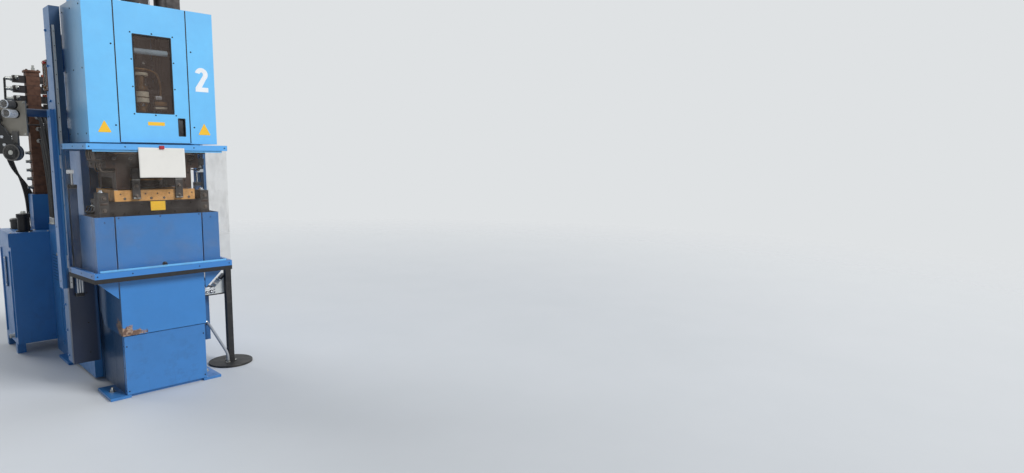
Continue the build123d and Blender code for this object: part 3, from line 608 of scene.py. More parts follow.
def numeral_two(left, right, low, high):
    """A bold upright figure two as one closed outline."""
    width = right - left
    height = high - low
    stroke = width * 0.37
    x = left + width / 2
    y = high - width / 2 * 1.02
    inner = width / 2 - stroke
    return [
        *arc(x, y, width / 2, width / 2 * 1.02, 168, -46, 24),
        (left + stroke * 1.35, low + height * 0.19),
        (right, low + height * 0.19),
        (right, low),
        (left, low),
        (left, low + height * 0.16),
        *arc(x, y, inner, inner * 1.3, -40, 168, 18),
    ]


figure = Piece("number_two", "machine", None, "mark_white")
figure.plate(numeral_two(273, 362, 2147, 2316), "xz", HOUSING_FACE - 0.8, HOUSING_FACE + 0.2, 0.0)
figure.done()

eyes = Piece("lifting_eyes", "machine", "bright_steel", "zinc")
for x in (-340, 340):
    eyes.turn((x, 130, HOUSING_TOP), "z", [(17, 0), (17, 5), (11, 9), (8, 16)], 20)
    ring = [(u, 130, v) for u, v in circle(24, 17, x, HOUSING_TOP + 32)]
    eyes.pipe([*ring, ring[0]], 5, 0, 10, 1)
eyes.done()

materials = "dark_steel ground_chrome zinc black_rubber rust_brown alloy bronze pale_tube cream"
inside = Piece("housing_inside", "machine", "dark_steel", materials)
inside.turn((-150, -270, 2392), "x", [(17, 0), (19, 2), (19, 250), (17, 254)], 28, 7)
inside.turn((-170, -270, 2392), "x", [(24, 0), (26, 2), (26, 16), (20, 18)])
inside.turn((104, -270, 2392), "x", [(20, 0), (26, 2), (26, 18), (24, 20)])
inside.box((-335, 150, 1985), (350, 152, 2685), 0.5)
grid(inside.dome, (-300, -100, 100, 300), 152, (2010, 2340, 2660), "y", 6, 2)
lower_half = [(38, 0), (38, 34), (46, 36), (46, 58), (34, 60)]
upper_half = [(34, 150), (50, 152), (50, 176), (30, 178), (30, 286)]
inside.turn((-52, -190, 1990), "z", lower_half + upper_half, 32, 6)
for z, high in ((2026, 22), (2142, 24)):
    inside.turn((-52, -190, z), "z", [(47, 0), (51, 2), (51, high - 2), (47, high)], 6, 1)
# Heater bands in near-white cream: their colour also paints the bright glints on the barrel as painted
# highlight.
for z, high in ((2054, 30), (2092, 34), (2236, 20)):
    inside.turn((-52, -190, z), "z", [(44, 0), (50, 2), (50, high), (44, high + 2)], 32, 8)
inside.box((20, -236, 2010), (104, -204, 2030), 3, 8)
inside.box((20, -236, 2034), (104, -204, 2066), 3, 6)
inside.box((24, -238, 2074), (70, -210, 2104), 3, 5)
inside.hex_bolt((44, -238, 2089), "-y", 10, 2)
line = [(62, -220, 2066), (66, -228, 2180), (40, -236, 2262), (-40, -240, 2280), (-116, -236, 2278)]
inside.pipe(line, 7, 6)
inside.pipe([(-116, -236, 2470), (-20, -246, 2478), (60, -240, 2520), (70, -232, 2600)], 8, 3)
inside.box((74, -240, 2440), (118, -214, 2500), 2)
for z, radius in ((2020, 96), (2092, 99), (2164, 96), (2236, 99), (2308, 96)):
    band = [(86, 0), (radius, 2), (radius, 46), (86, 48)]
    inside.turn((0, 0, z), "z", band, 40, 4 if radius > 97 else 0)
    inside.box((-16, -radius - 16, z + 10), (16, -radius + 4, z + 38), 2)
    inside.hex_bolt((0, -radius - 16, z + 24), "-y", 9, 2)
for x, y, z0, z1 in ((-60, -150, 1990, 2600), (-86, -140, 1990, 2560), (78, -160, 1990, 2500)):
    inside.pipe([(x, y, z0), (x, y - 20, (z0 + z1) / 2), (x + 24, y, z1)], 11, 3, 12)
for x in (-190, 190):
    inside.box((x - 12, -190, 1985), (x + 12, -166, 2690), 1.5)
inside.box((-240, -186, 2560), (240, -170, 2600), 1.5)
inside.box((-240, -186, 2120), (240, -178, 2146), 1.5)
grid(inside.hex_bolt, (-210, -120, 120, 210), -186, 2580, "-y", 12, 2)
inside.done()

# Guard

GUARD_FACE = -350


def guard_x(side, y):
    """The guard's side face at depth y, as in the part."""
    front = side * 451 + 10
    return front + (side * 481 - front) * (y - GUARD_FACE) / 486


clips = Piece("guard_clamp_strips", "guard", "blue_upper", "blue_upper zinc")
for low, high in ((911, 925), (1713, 1727)):
    clips.box((-405, GUARD_FACE + 10.2, low), (425, GUARD_FACE + 13, high), 0.5)
    grid(clips.dome, range(-380, 391, 110), GUARD_FACE + 13, (low + high) / 2, "y", 4.5, 1)
clips.done()

guard_screws = Piece("guard_screws", "guard", "dark_steel", "black_oxide")
grid(guard_screws.dome, (-425, -215, 225, 440), GUARD_FACE, (891, 1746), "-y", 4.5)
places = [*product((-300, -110, 90), (891, 1746)), *product((122,), (960, 1150, 1340, 1530, 1690))]
for side, (y, z) in product((-1, 1), places):
    guard_screws.dome((guard_x(side, y), y, z), OUTWARD[side], 4.5)
guard_screws.done()

# The paper note, held at the top and curling forward toward its lower left corner

COLUMNS, ROWS = 30, 22
NOTE_WIDE, NOTE_HIGH = 297, 205
sheet = bmesh.new()
points = []
for j, i in product(range(ROWS + 1), range(COLUMNS + 1)):
    u, v = i / COLUMNS, j / ROWS
    lift = 5.2 * v**2.2 * (0.55 + 0.45 * (1 - u)) + 0.9 * math.sin(u * 7 + v * 2) * v
    x = -138.5 + NOTE_WIDE * u + 1.2 * math.sin(v * 3)
    z = 1744 - NOTE_HIGH * v - 2.5 * u + 1.2 * v * math.sin(u * 5)
    points.append(sheet.verts.new(Vector((x, GUARD_FACE - 1.1 - lift, z)) * MM))
for j, i in product(range(ROWS), range(COLUMNS)):
    here = j * (COLUMNS + 1) + i
    below = here + COLUMNS + 1
    sheet.faces.new([points[k] for k in (here, here + 1, below + 1, below)]).smooth = True
note = finish_mesh(sheet, "note_curled", "guard", ["note_paper"])
note.modifiers.new("thickness", "SOLIDIFY").thickness = 0.0003
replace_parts(note, "note_sheet")

magnet = Piece("note_magnet_block", "guard", "magnet_red", "magnet_red")
magnet.plate(panel(-6, 26, 1733, 1757, 4), "xz", GUARD_FACE - 9, GUARD_FACE - 1.4, 1.8, 0, 3)
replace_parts(magnet.done(), "note_magnet")


# Moving cover, base and feet

cover_screws = Piece("cover_screws", "clamp", "dark_steel", "black_oxide")
grid(cover_screws.dome, (-261, 0, 264), -279, 1266, "-y", 5)
for side in (-1, 1):
    for z in (900, 1240):
        cover_screws.dome((side * 345, -279, z), "-y", 4.5)
        grid(cover_screws.dome, side * 404, (-200, 60), z, OUTWARD[side], 4.5)
profile = [(15, 0), (15, 3), (9, 4), (9, 11), (13, 13), (13, 20), (10, 22), (0, 22)]
cover_screws.turn((13, -279, 925), "-y", profile, 24)
cover_screws.done()

frame_bolts = Piece("frame_bolts", "machine", "blue_lower", "blue_lower")
for side in (-1, 1):
    for z in (150, 420, 690):
        grid(frame_bolts.hex_bolt, side * 325, (400, 700, 1090), z, OUTWARD[side], 15)
    for y in (360, 520, 870, 1090):
        grid(frame_bolts.hex_bolt, side * 325, y, (1750, 1930), OUTWARD[side], 18)
    grid(frame_bolts.hex_bolt, side * 480, 300, (230, 420, 610, 2060, 2300, 2540), OUTWARD[side], 12)
grid(frame_bolts.hex_bolt, (-230, 0, 230), 1160, (120, 700, 1300, 1850, 2350), "y", 14)
frame_bolts.done()

base_screws = Piece("base_screws", "machine", "dark_steel", "black_oxide")
for x, z in ((258, 367), (257, 46), (-258, 367), (-257, 46)):
    base_screws.dome((x, -270, z), "-y", 5)
both_sides(base_screws.dome, 271, -246, (46, 210, 367), 4.5)
base_screws.done()

anchors = Piece("anchor_bolts", "machine", "bright_steel", "zinc")
for x in (-323.5, 323.5):
    anchors.turn((x, -115, 20), "z", [(22, 0), (22, 3.5), (9, 3.5)], 24)
    anchors.turn((x, -115, 23.5), "z", [(14, 0), (15.5, 1.5), (15.5, 11), (14, 12.5), (8.2, 12.5)], 6)
    anchors.turn((x, -115, 20), "z", [(8, 0), (8, 30), (7, 32), (0, 32)], 20)
anchors.done()

rail_screws = Piece("rail_screws", "machine", "dark_steel", "black_oxide")
for side in (-1, 1):
    grid(rail_screws.socket_bolt, side * 466, 150, range(790, 2519, 96), "-y", 3.6)
    grid(rail_screws.dome, side * 505, 265, (790, 1180, 1570, 1950), OUTWARD[side], 5)
    grid(rail_screws.dome, side * 375, 170, (260, 480, 700, 940), "-y", 5)
rail_screws.done()

cylinders = Piece("lift_cylinder_profiles", "machine", "alloy", "alloy black_plastic zinc")
for side in (-1, 1):
    cx = side * 422
    for offset in (-14.5, 0, 14.5):
        cylinders.box((cx + offset - 4.5, 119, 716), (cx + offset + 4.5, 124.5, 866), 1.0)
    for y in (133, 147, 161):
        cylinders.box((side * 398.5, y - 4, 716), (side * 396.5, y + 4, 866), 0.8)
    for low, high in ((688, 714), (1454, 1482)):
        outer = panel(cx - 25, cx + 25, 121, 170, 4)
        inner = panel(cx - 12, cx + 12, 135, 159, 11.9)
        cylinders.rim(outer, inner, "xy", low, high, 1, 1.0)
        for dx in (-17, 17):
            cylinders.socket_bolt((cx + dx, 121, (low + high) / 2), "-y", 4, 1)
    profile = [(8, 0), (8, 8), (5, 8), (5, 16), (6.5, 16), (6.5, 20), (3, 20)]
    cylinders.turn((cx, 121, 700), "-y", profile, 16, 1)
cylinders.done()

# Mould zone

MOULD_FACE = -230

materials = "oily_steel black_oxide mould_steel ground_chrome"
lower = Piece("mould_fastenings", "clamp", "bright_steel", materials)
grid(lower.socket_bolt, (-276, -205, -120, 120, 205, 276), MOULD_FACE, 1292, "-y", 7, 1)
grid(lower.socket_bolt, (-230, -95, 95, 230), MOULD_FACE, 1352, "-y", 6, 1)
lower.box((-300.6, MOULD_FACE - 0.8, 1313), (300.6, 206, 1315.5), 0.4, 1)
for side in (-1, 1):
    grid(lower.socket_bolt, side * 300, (-150, -40, 70, 170), 1345, OUTWARD[side], 6, 1)
    lower.hex_bolt((side * 329, MOULD_FACE, 1400), "-y", 17, 0)
    lower.hex_bolt((side * 329, MOULD_FACE, 1315), "-y", 17, 0)
    lower.turn((side * 329, -170, 1436), "z", [(20, 0), (20, 5), (12, 7), (12, 16), (9, 18), (0, 18)], 24, 3)
    lower.box((side * 329 - 24, MOULD_FACE - 5, 1352), (side * 329 + 24, MOULD_FACE, 1366), 1.5, 2)
grid(lower.dome, range(-225, 244, 78), -222, 1424, "-y", 5.5, 1)
grid(lower.turn, range(-200, 221, 84), -222, 1392, "-y", [(9, 0), (9, 1.5), (6, 2.5), (6, 1), (0, 1)], 18, 0)
grid(lower.turn, (-240, 240), (-190, 175), 1450, "z", [(15, -2), (15, 2.5), (10, 4.5), (0, 4.5)], 24, 3)
lower.done()

tag = Piece("mould_yellow_plate", "clamp", None, "label_yellow")
tag.plate(panel(-42, 54, 1304, 1369, 3), "xz", MOULD_FACE - 2.4, MOULD_FACE, 0.4)
tag.done()

heaters = Piece("mould_heater_leads", "clamp", "hose_black", "hose_black zinc black_oxide")
for i, y in enumerate((-130, -60, 10, 80)):
    heaters.box((-318, y - 15, 1318), (-300, y + 15, 1344), 2, 2)
    heaters.gland((-318, y, 1331), "-x", 9, 10, 6, 14, 20)
    points = [(-335, y, 1331), (-352, y + 6, 1331), (-356, y + 40, 1300), (-352, 130 + i * 6, 1288)]
    heaters.pipe(points, 4.5, 0)
heaters.pipe([(-352, 92, 1290), (-352, 100, 1282), (-300, 100, 1278)], 9, 0, 12)
heaters.done()

hooks = Piece("hook_pins", "machine", "ground_chrome", "oily_steel black_oxide zinc")
for x in (-129, 150):
    grid(hooks.turn, x, -242, (1408, 1478), "-y", [(13, 0), (13, 3), (9, 4), (9, 15), (7, 17), (0, 17)], 24)
    hooks.socket_bolt((x - 12, -242, 1575), "-y", 7, 1)
    hooks.socket_bolt((x + 12, -242, 1575), "-y", 7, 1)
    hooks.box((x - 25.6, -243, 1520), (x + 25.6, -228, 1524), 0.5, 2)
    hooks.plate(
        [(x - 22, 1392), (x + 22, 1392), (x + 22, 1398), (x - 22, 1402)], "xz", -244.5, -241, 0.6, 2
    )
hooks.done()

materials = "black_oxide oily_steel bronze mould_steel"
upper = Piece("upper_mould_fastenings", "machine", "dark_steel", materials)
grid(upper.socket_bolt, (-225, -140, -40, 60, 225), -214, 1568, "-y", 7)
grid(upper.socket_bolt, (-203, 203), -214, (1478, 1512), "-y", 6)
upper.turn((0, 0, 1457), "z", [(114, 0), (118, 3), (118, 16), (112, 19)], 48, 3)
upper.turn((0, 0, 1512), "z", [(112, 0), (117, 2), (117, 12), (112, 14)], 48, 2)
for c, s in around(10, 0.3):
    direction = Vector((c, s, 0))
    upper.socket_bolt(direction * 112 + Vector((0, 0, 1494)), direction, 6)
for i in range(6):
    x = -250 + i * 100
    upper.turn((x, -214, 1668), "-y", [(12, 0), (12, 3), (8, 4), (8, 14), (5, 16), (0, 16)], 20, 1)
    upper.turn((x, -214, 1630), "-y", [(9, 0), (9, 2), (5, 3), (0, 3)], 6, 0)
upper.box((-300.6, -214.8, 1648), (300.6, 206, 1650.5), 0.4, 0)
for side in (-1, 1):
    grid(upper.hex_bolt, side * 300, (-170, -70, 30, 130), 1630, OUTWARD[side], 11, 1)
    upper.box((side * 252 - 22, -213, 1700.5), (side * 252 + 22, -120, 1714), 1, 3)
upper.done()

leads = Piece("platen_leads", "machine", "hose_black", "hose_black oily_steel oily_steel bronze")
for i in range(6):
    x = -250 + i * 100
    leads.pipe([(x, -228, 1668), (x, -244, 1668), (x + 14, -248, 1690), (x + 26, -246, 1708)], 3.4, 0, 8)
points = [(-292, -247, 1709), (-200, -248, 1711), (0, -246, 1708), (180, -248, 1711), (300, -246, 1709)]
leads.pipe(points, 8.5, 0, 12)
points = [(300, -246, 1709), (338, -240, 1712), (350, -190, 1716), (350, 60, 1720), (330, 160, 1722)]
leads.pipe(points, 8.5, 0, 12)
for i, (y, rise) in enumerate(((-170, 1742), (-120, 1748), (-62, 1738), (0, 1746))):
    leads.turn((-300, y, 1655), "-x", [(13, 0), (13, 9), (10, 10), (10, 24), (8, 26)], 6, 1)
    points = [(-326, y, 1655), (-350, y, 1655), (-356, y + 8, 1700), (-346, y, rise), (-300, y, rise)]
    leads.pipe(points, 7.5, 2, 12)
    leads.gland((-276, y, rise), "-x", 13, 12, 10, 14, 26)
for y, z in ((-176, 1580), (-118, 1590), (-60, 1578)):
    leads.turn((-245, y, z), "-x", [(11, 0), (11, 14), (8, 15), (8, 34), (10, 36), (10, 44), (6, 46)], 18, 2)
    leads.pipe([(-290, y, z), (-318, y, z - 3), (-326, y + 4, z + 24), (-322, y, 1640)], 5, 2, 10)
leads.done()

junction = Piece("platen_junction_box", "machine", "black_rubber", "black_plastic zinc hose_black")
junction.box((300.5, -196, 1618), (346, -108, 1672), 2.5)
junction.box((346, -192, 1622), (350, -112, 1668), 1.5)
grid(junction.dome, 350, (-184, -120), (1628, 1662), "x", 3.5, 1)
for y in (-176, -150, -126):
    junction.gland((324, y, 1618), "-z", 8, 8, 6, 10, 16)
    points = [(324, y, 1604), (324, y, 1592), (334, y + 40, 1580), (338, 60, 1588), (330, 150, 1600)]
    junction.pipe(points, 4, 2, 8)
junction.done()

# Injection unit above the housing

materials = "black_oxide zinc ground_chrome dark_steel bronze"
top = Piece("injector_fastenings", "machine", "dark_steel", materials)
for x, y in circle(10, 94, start=math.pi / 10):
    top.socket_bolt((x, y, 3256), "-z", 8)
    top.socket_bolt((x, y, 2364), "z", 8)
grid(top.turn, 0, 0, (2720, 2980), "z", [(86, 0), (92, 2), (92, 26), (86, 28)], 48, 3)
top.box((-12, -104, 2724), (12, -88, 2744), 1.5, 3)
top.hex_bolt((0, -104, 2734), "-y", 9, 1)
for x, y in ((-165, 20), (110, 75)):
    size = 40 if x < 0 else 17
    profile = [(size, 0), (size * 1.08, 3), (size * 1.08, size * 0.7), (size, size * 0.7 + 3)]
    top.turn((x, y, 3350), "z", profile, 6, 1)
    profile = [(size * 0.55, 0), (size * 0.55, size * 0.7 + 8), (0, size * 0.7 + 8)]
    top.turn((x, y, 3350), "z", profile, 20, 1)
grid(top.socket_bolt, (-60, 0, 60), (-50, 100), 3350, "z", 12)
grid(top.socket_bolt, (-235, -75), -45, (3076, 3142), "-y", 9)
for z in (2706, 2760, 3300):
    top.turn((-165, 20, min(z, 3262)), "z", [(31, 0), (38, 1), (38, 22), (31, 23)], 32, 3)
for z in (2860, 3190):
    top.box((96, 50, z), (136, 98, z + 26), 2, 0)
    top.turn((136, 74, z + 13), "x", [(6, 0), (6, 12), (4, 14), (4, 20)], 12, 1)
top.box((-215.8, -75.8, 3318), (135.8, 125.8, 3320.5), 0.4, 0)
top.done()

lid_trim = Piece("lid_edge_trim", "machine", "black_rubber", "black_rubber")
outer = panel(-209, 134, -129, 126, 8)
inner = panel(-203, 128, -123, 120, 6)
lid_trim.rim(outer, inner, "xy", 2697, 2705, 0, 0.8)
outer = panel(146, 331, 31, 139, 8)
inner = panel(152, 325, 37, 133, 6)
lid_trim.rim(outer, inner, "xy", 2697, 2705, 0, 0.8)
lid_trim.done()

feed = Piece("feed_column_fittings", "machine", "dark_steel", "dark_steel zinc black_oxide alloy")
grid(feed.turn, 200, 85, (2740, 2900, 3060, 3200), "z", [(47, 0), (54, 2), (54, 24), (47, 26)], 40)
feed.turn((200, 85, 3240), "z", [(40, 0), (40, 30), (30, 34), (30, 60), (0, 60)], 32, 0)
for x, y in circle(6, 36, 200, 85):
    feed.socket_bolt((x, y, 3270), "z", 5, 2)
grid(feed.dome, 323, (62, 108), (2760, 2900, 3040, 3180, 3290), "x", 4.5, 2)
feed.box((252, 48, 3320), (325, 122, 3328), 1.5, 0)
grid(feed.turn, 288, (66, 104), 3328, "z", [(11, 0), (11, 12), (8, 13), (8, 28), (0, 28)], 6, 1)
feed.done()

post = Piece("hose_post_fittings", "machine", "blue_upper", "blue_lower zinc black_rubber")
post.box((-371, 89, 2700), (-249, 211, 2712), 2)
grid(post.hex_bolt, (-358, -262), (102, 198), 2712, "z", 12, 1)
for z in (2850, 3100, 3260):
    post.box((-258, 112, z), (-250, 188, z + 22), 1.5, 1)
    post.hex_bolt((-250, 130, z + 11), "x", 8, 1)
    post.hex_bolt((-250, 170, z + 11), "x", 8, 1)
post.box((-366.5, 93.5, 3391), (-253.5, 206.5, 3400), 2, 2)
post.done()

# Hose ends

ends = Piece("hose_end_fittings", "machine", "bright_steel", "zinc bright_steel")


def hose_end(point, direction, radius):
    """A hexagon nut and a pressed sleeve over the end of a hose that leaves a face."""
    narrow, wide = radius * 1.25, radius * 1.45
    nut = [(narrow, 0), (wide, 2), (wide, radius * 1.3), (narrow, radius * 1.4)]
    ends.turn(point, direction, nut, 6, 0, random.uniform(0, 1))
    start = radius * 1.4
    sleeve = [(radius * 1.1, start), (radius * 1.22, start + 2)]
    for i in range(4):
        here = start + 4 + i * radius * 0.5
        sleeve += [(radius * 1.22, here), (radius * 1.14, here + 2), (radius * 1.22, here + 4)]
    last = sleeve[-1][1] + radius * 0.6
    ends.turn(point, direction, [*sleeve, (radius * 1.22, last), (radius * 1.02, last + 3)], 20, 1)


for x in (-190, -145, -100, -55):
    hose_end((x, 125, 3320), "y", 17)
    hose_end((x, 1030, 1980), "z", 17)
for x in (-250, -212, 60):
    for near, far in ((860, 1265), (915, 1210)):
        hose_end((x, near, 1980), "z", 14)
        hose_end((x, far, 1100), "z", 14)
for x in (-308, -279):
    for y, z in ((1420, 1800), (1375, 1900), (1330, 2000)):
        hose_end((x, 1674.5, z), "-y", 13)
        hose_end((x, y, 1100), "z", 13)
for y in (640, 690, 740):
    hose_end((-235, y, 760), "z", 16)
    hose_end((-195, y + 40, 1716), "-z", 16)
ends.done()

# Valve stack, built around its own centre line and then moved to its place

STACK = (-316, 1722)
VALVE_TOP = 2348
VALVE_STEP = 84

materials = "rust_brown zinc black_plastic coil_orange dark_steel signal_red"
valves = Piece("valve_bodies", "machine", "rust_brown", materials)
for row in range(6):
    high = VALVE_TOP - row * VALVE_STEP
    z = high - 29
    valves.box((-49.5, -49.5, high + 2), (49.5, 49.5, high + 5), 0.5, 4)
    near, far = 47.5, 135.5
    profile = [(22, 0), (22, 3), (17, 4), (17, 30), (12, 33), (6, 33), (6, 38)]
    valves.turn((far, 0, z), "x", profile, 24, 4)
    valves.box((near + 18, -33, high), (near + 52, -4, high + 20), 2.5, 2 if row % 2 else 3)
    valves.box((near + 56, -30, high), (near + 84, -4, high + 18), 2.5, 3 if row % 3 == 0 else 2)
    valves.turn((near + 35, -33, high + 10), "-y", [(6, 0), (6, 10), (4, 12), (4, 22)], 12, 2)
    for y in (-22, 22):
        valves.socket_bolt((near + 10, y, high), "z", 4, 2)
        valves.socket_bolt((-57, y, high), "z", 4, 2)
    left = -135.5
    valves.turn((left, 0, z), "-x", [(19, 0), (21, 2), (21, 16), (19, 18)], 6, 1)
    profile = [(14, 0), (14, 22), (16, 23), (16, 32), (10, 34), (0, 34)]
    valves.turn((left - 18, 0, z), "-x", profile, 20, 1)
    for y, drop in ((-31, 6), (31, -6)):
        side = "-y" if y < 0 else "y"
        valves.turn((left + 26, y, z + drop), side, [(14, 0), (15, 2), (15, 13), (13, 15)], 6, 1)
        end = Vector((left + 26, y * 1.45, z + drop))
        away = Vector((-0.35, 1 if y > 0 else -1, 0.45)).normalized()
        valves.turn(end, away, [(10, 0), (10, 18), (12, 19), (12, 27), (8, 29)], 16, 1)
    valves.box((near + 6, 10, high - 50), (near + 80, 33, high - 10), 2, 0)
valves.box((-56, -56, 2380), (56, 56, 2398), 2, 0)
grid(valves.hex_bolt, (-40, 40), (-40, 40), 2398, "z", 12, 4)
valves.turn((14, 0, 2398), "z", [(14, 0), (14, 26), (10, 28), (10, 46), (0, 46)], 20, 1)
for z in (1352, 1420, 1500, 1580, 1660, 1740, 1820):
    valves.box((-49, -49, z), (49, 49, z + 3), 0.5, 4)
for i in range(5):
    z = 1400 + i * 74
    for side in (-1, 1):
        point = (side * 47.5, 0, z)
        valves.turn(point, OUTWARD[side], [(17, 0), (19, 2), (19, 15), (14, 16), (14, 40), (0, 40)], 6, 1)
valves.move(*STACK)
valves.done()

# Thin lines from the left of the stack, bundled down to the tank
lines = Piece("valve_stack_lines", "machine", "hose_black", "hose_black zinc")
for row in range(5):
    z = VALVE_TOP - row * VALVE_STEP - 29
    start = (-175, 0, z)
    reach = -44 - row * 7
    mid = (-184 + reach * 0.1, 10, z - 20)
    points = [start, (-190, 0, z), mid, (-150 + reach, 60, 1700 - row * 20)]
    points += [(-90 + row * 14, 96, 1360), (-80 + row * 20, 110, 1040)]
    lines.pipe(points, 8.5, 0, 10, 4)
    lines.gland((-80 + row * 20, 110, 1030), "z", 13, 12, 10, 13, 26)
for row in range(4):
    z = VALVE_TOP - row * VALVE_STEP - 19
    points = [(82, -55, z), (84, -66, z), (92, -74, z - 60), (70 - row * 6, -62, 1700)]
    points += [(74 - row * 9, -60, 1420), (90 - row * 9, -60, 1032)]
    lines.pipe(points, 4.2, 0, 8, 4)
lines.move(*STACK)
lines.done()

# Pump box and tank

box = Piece("pump_box_panels", "machine", "blue_lower", "blue_lower black_oxide black_plastic zinc")
for side in (-1, 1):
    x = side * 325
    box.box((x, 1185, 90), (x + side * 3, 1430, 1060), 1.2)
    for z in (120, 580, 1030):
        grid(box.dome, x + side * 3, (1200, 1415), z, OUTWARD[side], 5, 1)
    for i in range(9):
        z = 640 + i * 26
        box.box((x + side * 3 - 2, 1230, z), (x + side * 3 + 2, 1385, z + 8), 1.8, 0)
        box.box((x + side * 2.4 - 1, 1234, z - 6), (x + side * 2.4 + 1, 1381, z), 0.3, 2)
    box.turn((x + side * 3, 1212, 860), OUTWARD[side], [(13, 0), (13, 4), (10, 6), (0, 6)], 24, 3)
for x in (-308, -279, -250, -212, 60):
    for y in ((1330, 1375, 1420) if x in (-308, -279) else (1210, 1265)):
        box.box((x - 24, y - 20, 1100), (x + 24, y + 20, 1103), 0.8, 3)
box.box((-100, 1190, 1100), (40, 1420, 1104), 1, 0)
box.hex_bolt((-80, 1210, 1104), "z", 9, 3)
box.hex_bolt((20, 1400, 1104), "z", 9, 3)
box.done()

materials = "blue_lower zinc black_plastic glass black_oxide signal_red"
tank = Piece("tank_fittings", "machine", "blue_lower", materials)
tank.box((-607, 1455, 1022), (207, 1957, 1033), 1.5)
grid(tank.hex_bolt, range(-590, 185, 129), (1950, 1470), 1033, "z", 9, 1)
tank.plate(circle(40, 165, -200, 480), "xz", 1950, 1959, 1.5)
for x, z in circle(14, 146, -200, 480):
    tank.hex_bolt((x, 1955, z), "y", 10, 1)
for x in (-560, 140):
    tank.box((x, 1948, 140), (x + 30, 1958, 880), 2)
for y in (1500, 1860):
    tank.box((-609, y, 140), (-598, y + 30, 880), 2)
    tank.box((198, y, 140), (209, y + 30, 880), 2)
tank.box((-611, 1665, 560), (-600, 1701, 820), 3, 2)
tank.box((-611.8, 1675, 580), (-610, 1691, 800), 0.6, 3)
tank.hex_bolt((-611, 1683, 572), "-x", 9, 1)
tank.hex_bolt((-611, 1683, 808), "-x", 9, 1)
tank.turn((-600, 1560, 150), "-x", [(24, 0), (24, 8), (17, 10), (17, 26), (20, 27), (20, 38), (0, 38)], 6, 1)
profile = [(52, 0), (52, 6), (46, 8), (46, 60), (50, 62), (50, 84), (40, 92), (0, 92)]
tank.turn((-480, 1860, 1033), "z", profile, 32, 2)
profile = [(58, 0), (58, 8), (44, 10), (44, 120), (50, 122), (50, 150), (20, 156)]
tank.turn((-480, 1560, 1033), "z", profile, 32, 4)
tank.turn((-480, 1560, 1189), "z", [(20, 0), (20, 14), (14, 18), (0, 18)], 6, 1)
grid(tank.hex_bolt, (-397, -235), (1641, 1803), 1030, "z", 14, 1)
tank.done()

# Pump motor

motor = Piece("motor_fins", "machine", "motor_grey", "motor_grey black_oxide zinc black_plastic")
fins = around(36)
for c, s in fins[:16] + fins[21:]:
    direction = Vector((c, s, 0))
    across = Vector((-s, c, 0)) * 1.6
    spokes = ((107, -1), (107, 1), (121, 0.7), (121, -0.7))
    outline = [Vector((0, 1700, 0)) + direction * far + across * wide for far, wide in spokes]
    motor.plate([(p.x, p.y) for p in outline], "xy", 1120, 1370, 0.0)
motor.turn((0, 1700, 1030), "z", [(150, 0), (150, 14), (128, 16), (118, 80), (114, 84)], 48)
for x, y in circle(8, 137, 0, 1700, math.pi / 8):
    motor.hex_bolt((x, y, 1044), "z", 11, 2)
motor.turn((0, 1700, 1378), "z", [(112, 0), (124, 2), (124, 60), (118, 70), (104, 74), (0, 75)], 48)
for radius in (28, 46, 64, 82):
    motor.turn((0, 1700, 1452), "z", [(radius, 0), (radius, 2.5), (radius + 7, 2.5), (radius + 7, 0)], 40, 3)
motor.box((-178, 1648, 1200), (-104, 1752, 1310), 4)
motor.box((-184, 1644, 1196), (-178, 1756, 1314), 2.5)
grid(motor.dome, -184, (1655, 1745), (1206, 1304), "-x", 4.5, 1)
motor.gland((-141, 1700, 1200), "-z", 13, 12, 10, 14, 24, 3)
motor.pipe([(-141, 1700, 1178), (-141, 1700, 1150), (-160, 1690, 1080), (-168, 1684, 1033)], 8, 3, 10, 4)
motor.done()

# Level gauge and strip feeder on the left cheek

gauge = Piece("gauge_fittings", "machine", "bronze", "bronze glass signal_red rust_brown zinc")
for z in (2212, 2402):
    gauge.turn((-336, 1080, z), "z", [(14, -10), (15, -8), (15, 8), (14, 10)], 6, 0)
    gauge.turn((-347, 1080, z), "-x", [(11, 0), (11, 8), (8, 9), (8, 14), (0, 14)], 6, 0)
gauge.turn((-340, 1080, 2222), "z", [(11.5, 0), (11.5, 170)], 20, 1)
gauge.turn((-347, 1030, 2402), "-x", [(8, 0), (8, 10), (12, 11), (12, 18), (0, 18)], 20, 2)
grid(gauge.hex_bolt, -347, (1019, 1141), (2204, 2410), "-x", 8, 4)
gauge.done()

materials = "roller_grey mark_white black_plastic zinc black_oxide ground_chrome blue_shade"
feeder = Piece("feeder_rollers_and_arm", "machine", "roller_grey", materials)
face = -624
for y, z, sleeve in ((588, 2036, 0), (578, 1972, 1)):
    feeder.turn((face, y, z), "-x", [(31, 0), (31, 6), (27.5, 7), (27.5, 90)], 36, 4)
    profile = [(28, 0), (30, 2), (30, 8), (27, 10), (14, 10), (14, 4), (0, 4)]
    feeder.turn((face - 88, y, z), "-x", profile, 36, 1)
    feeder.turn((face - 92, y, z), "-x", [(13.5, 0), (13.5, 0.6), (0, 0.6)], 24, 2)
    for i in range(7):
        profile = [(27.3, 0), (28.6, 1), (28.6, 8), (27.3, 9)]
        feeder.turn((face - 14 - i * 11, y, z), "-x", profile, 36, sleeve)
profile = [(52, 0), (58.6, 3), (58.6, 12), (55, 15), (55, 34), (58.6, 37), (58.6, 46), (50, 50)]
feeder.turn((face - 16, 585, 1700), "-x", profile, 48, 2)
feeder.turn((face - 66, 585, 1700), "-x", [(16, 0), (16, 5), (9, 6), (9, 9), (0, 9)], 24, 3)
bracket = [(560, 1690), (547, 1740), (603, 1789), (651, 1873), (690, 1905), (760, 1905), (760, 1690)]
feeder.plate(bracket, "yz", face - 24, face - 14, 1.5, 2)
for y, z in ((669, 1810), (655, 1754), (720, 1840)):
    feeder.turn((face - 24, y, z), "-x", [(11, 0), (11, 6), (6, 7), (0, 7)], 6, 1)
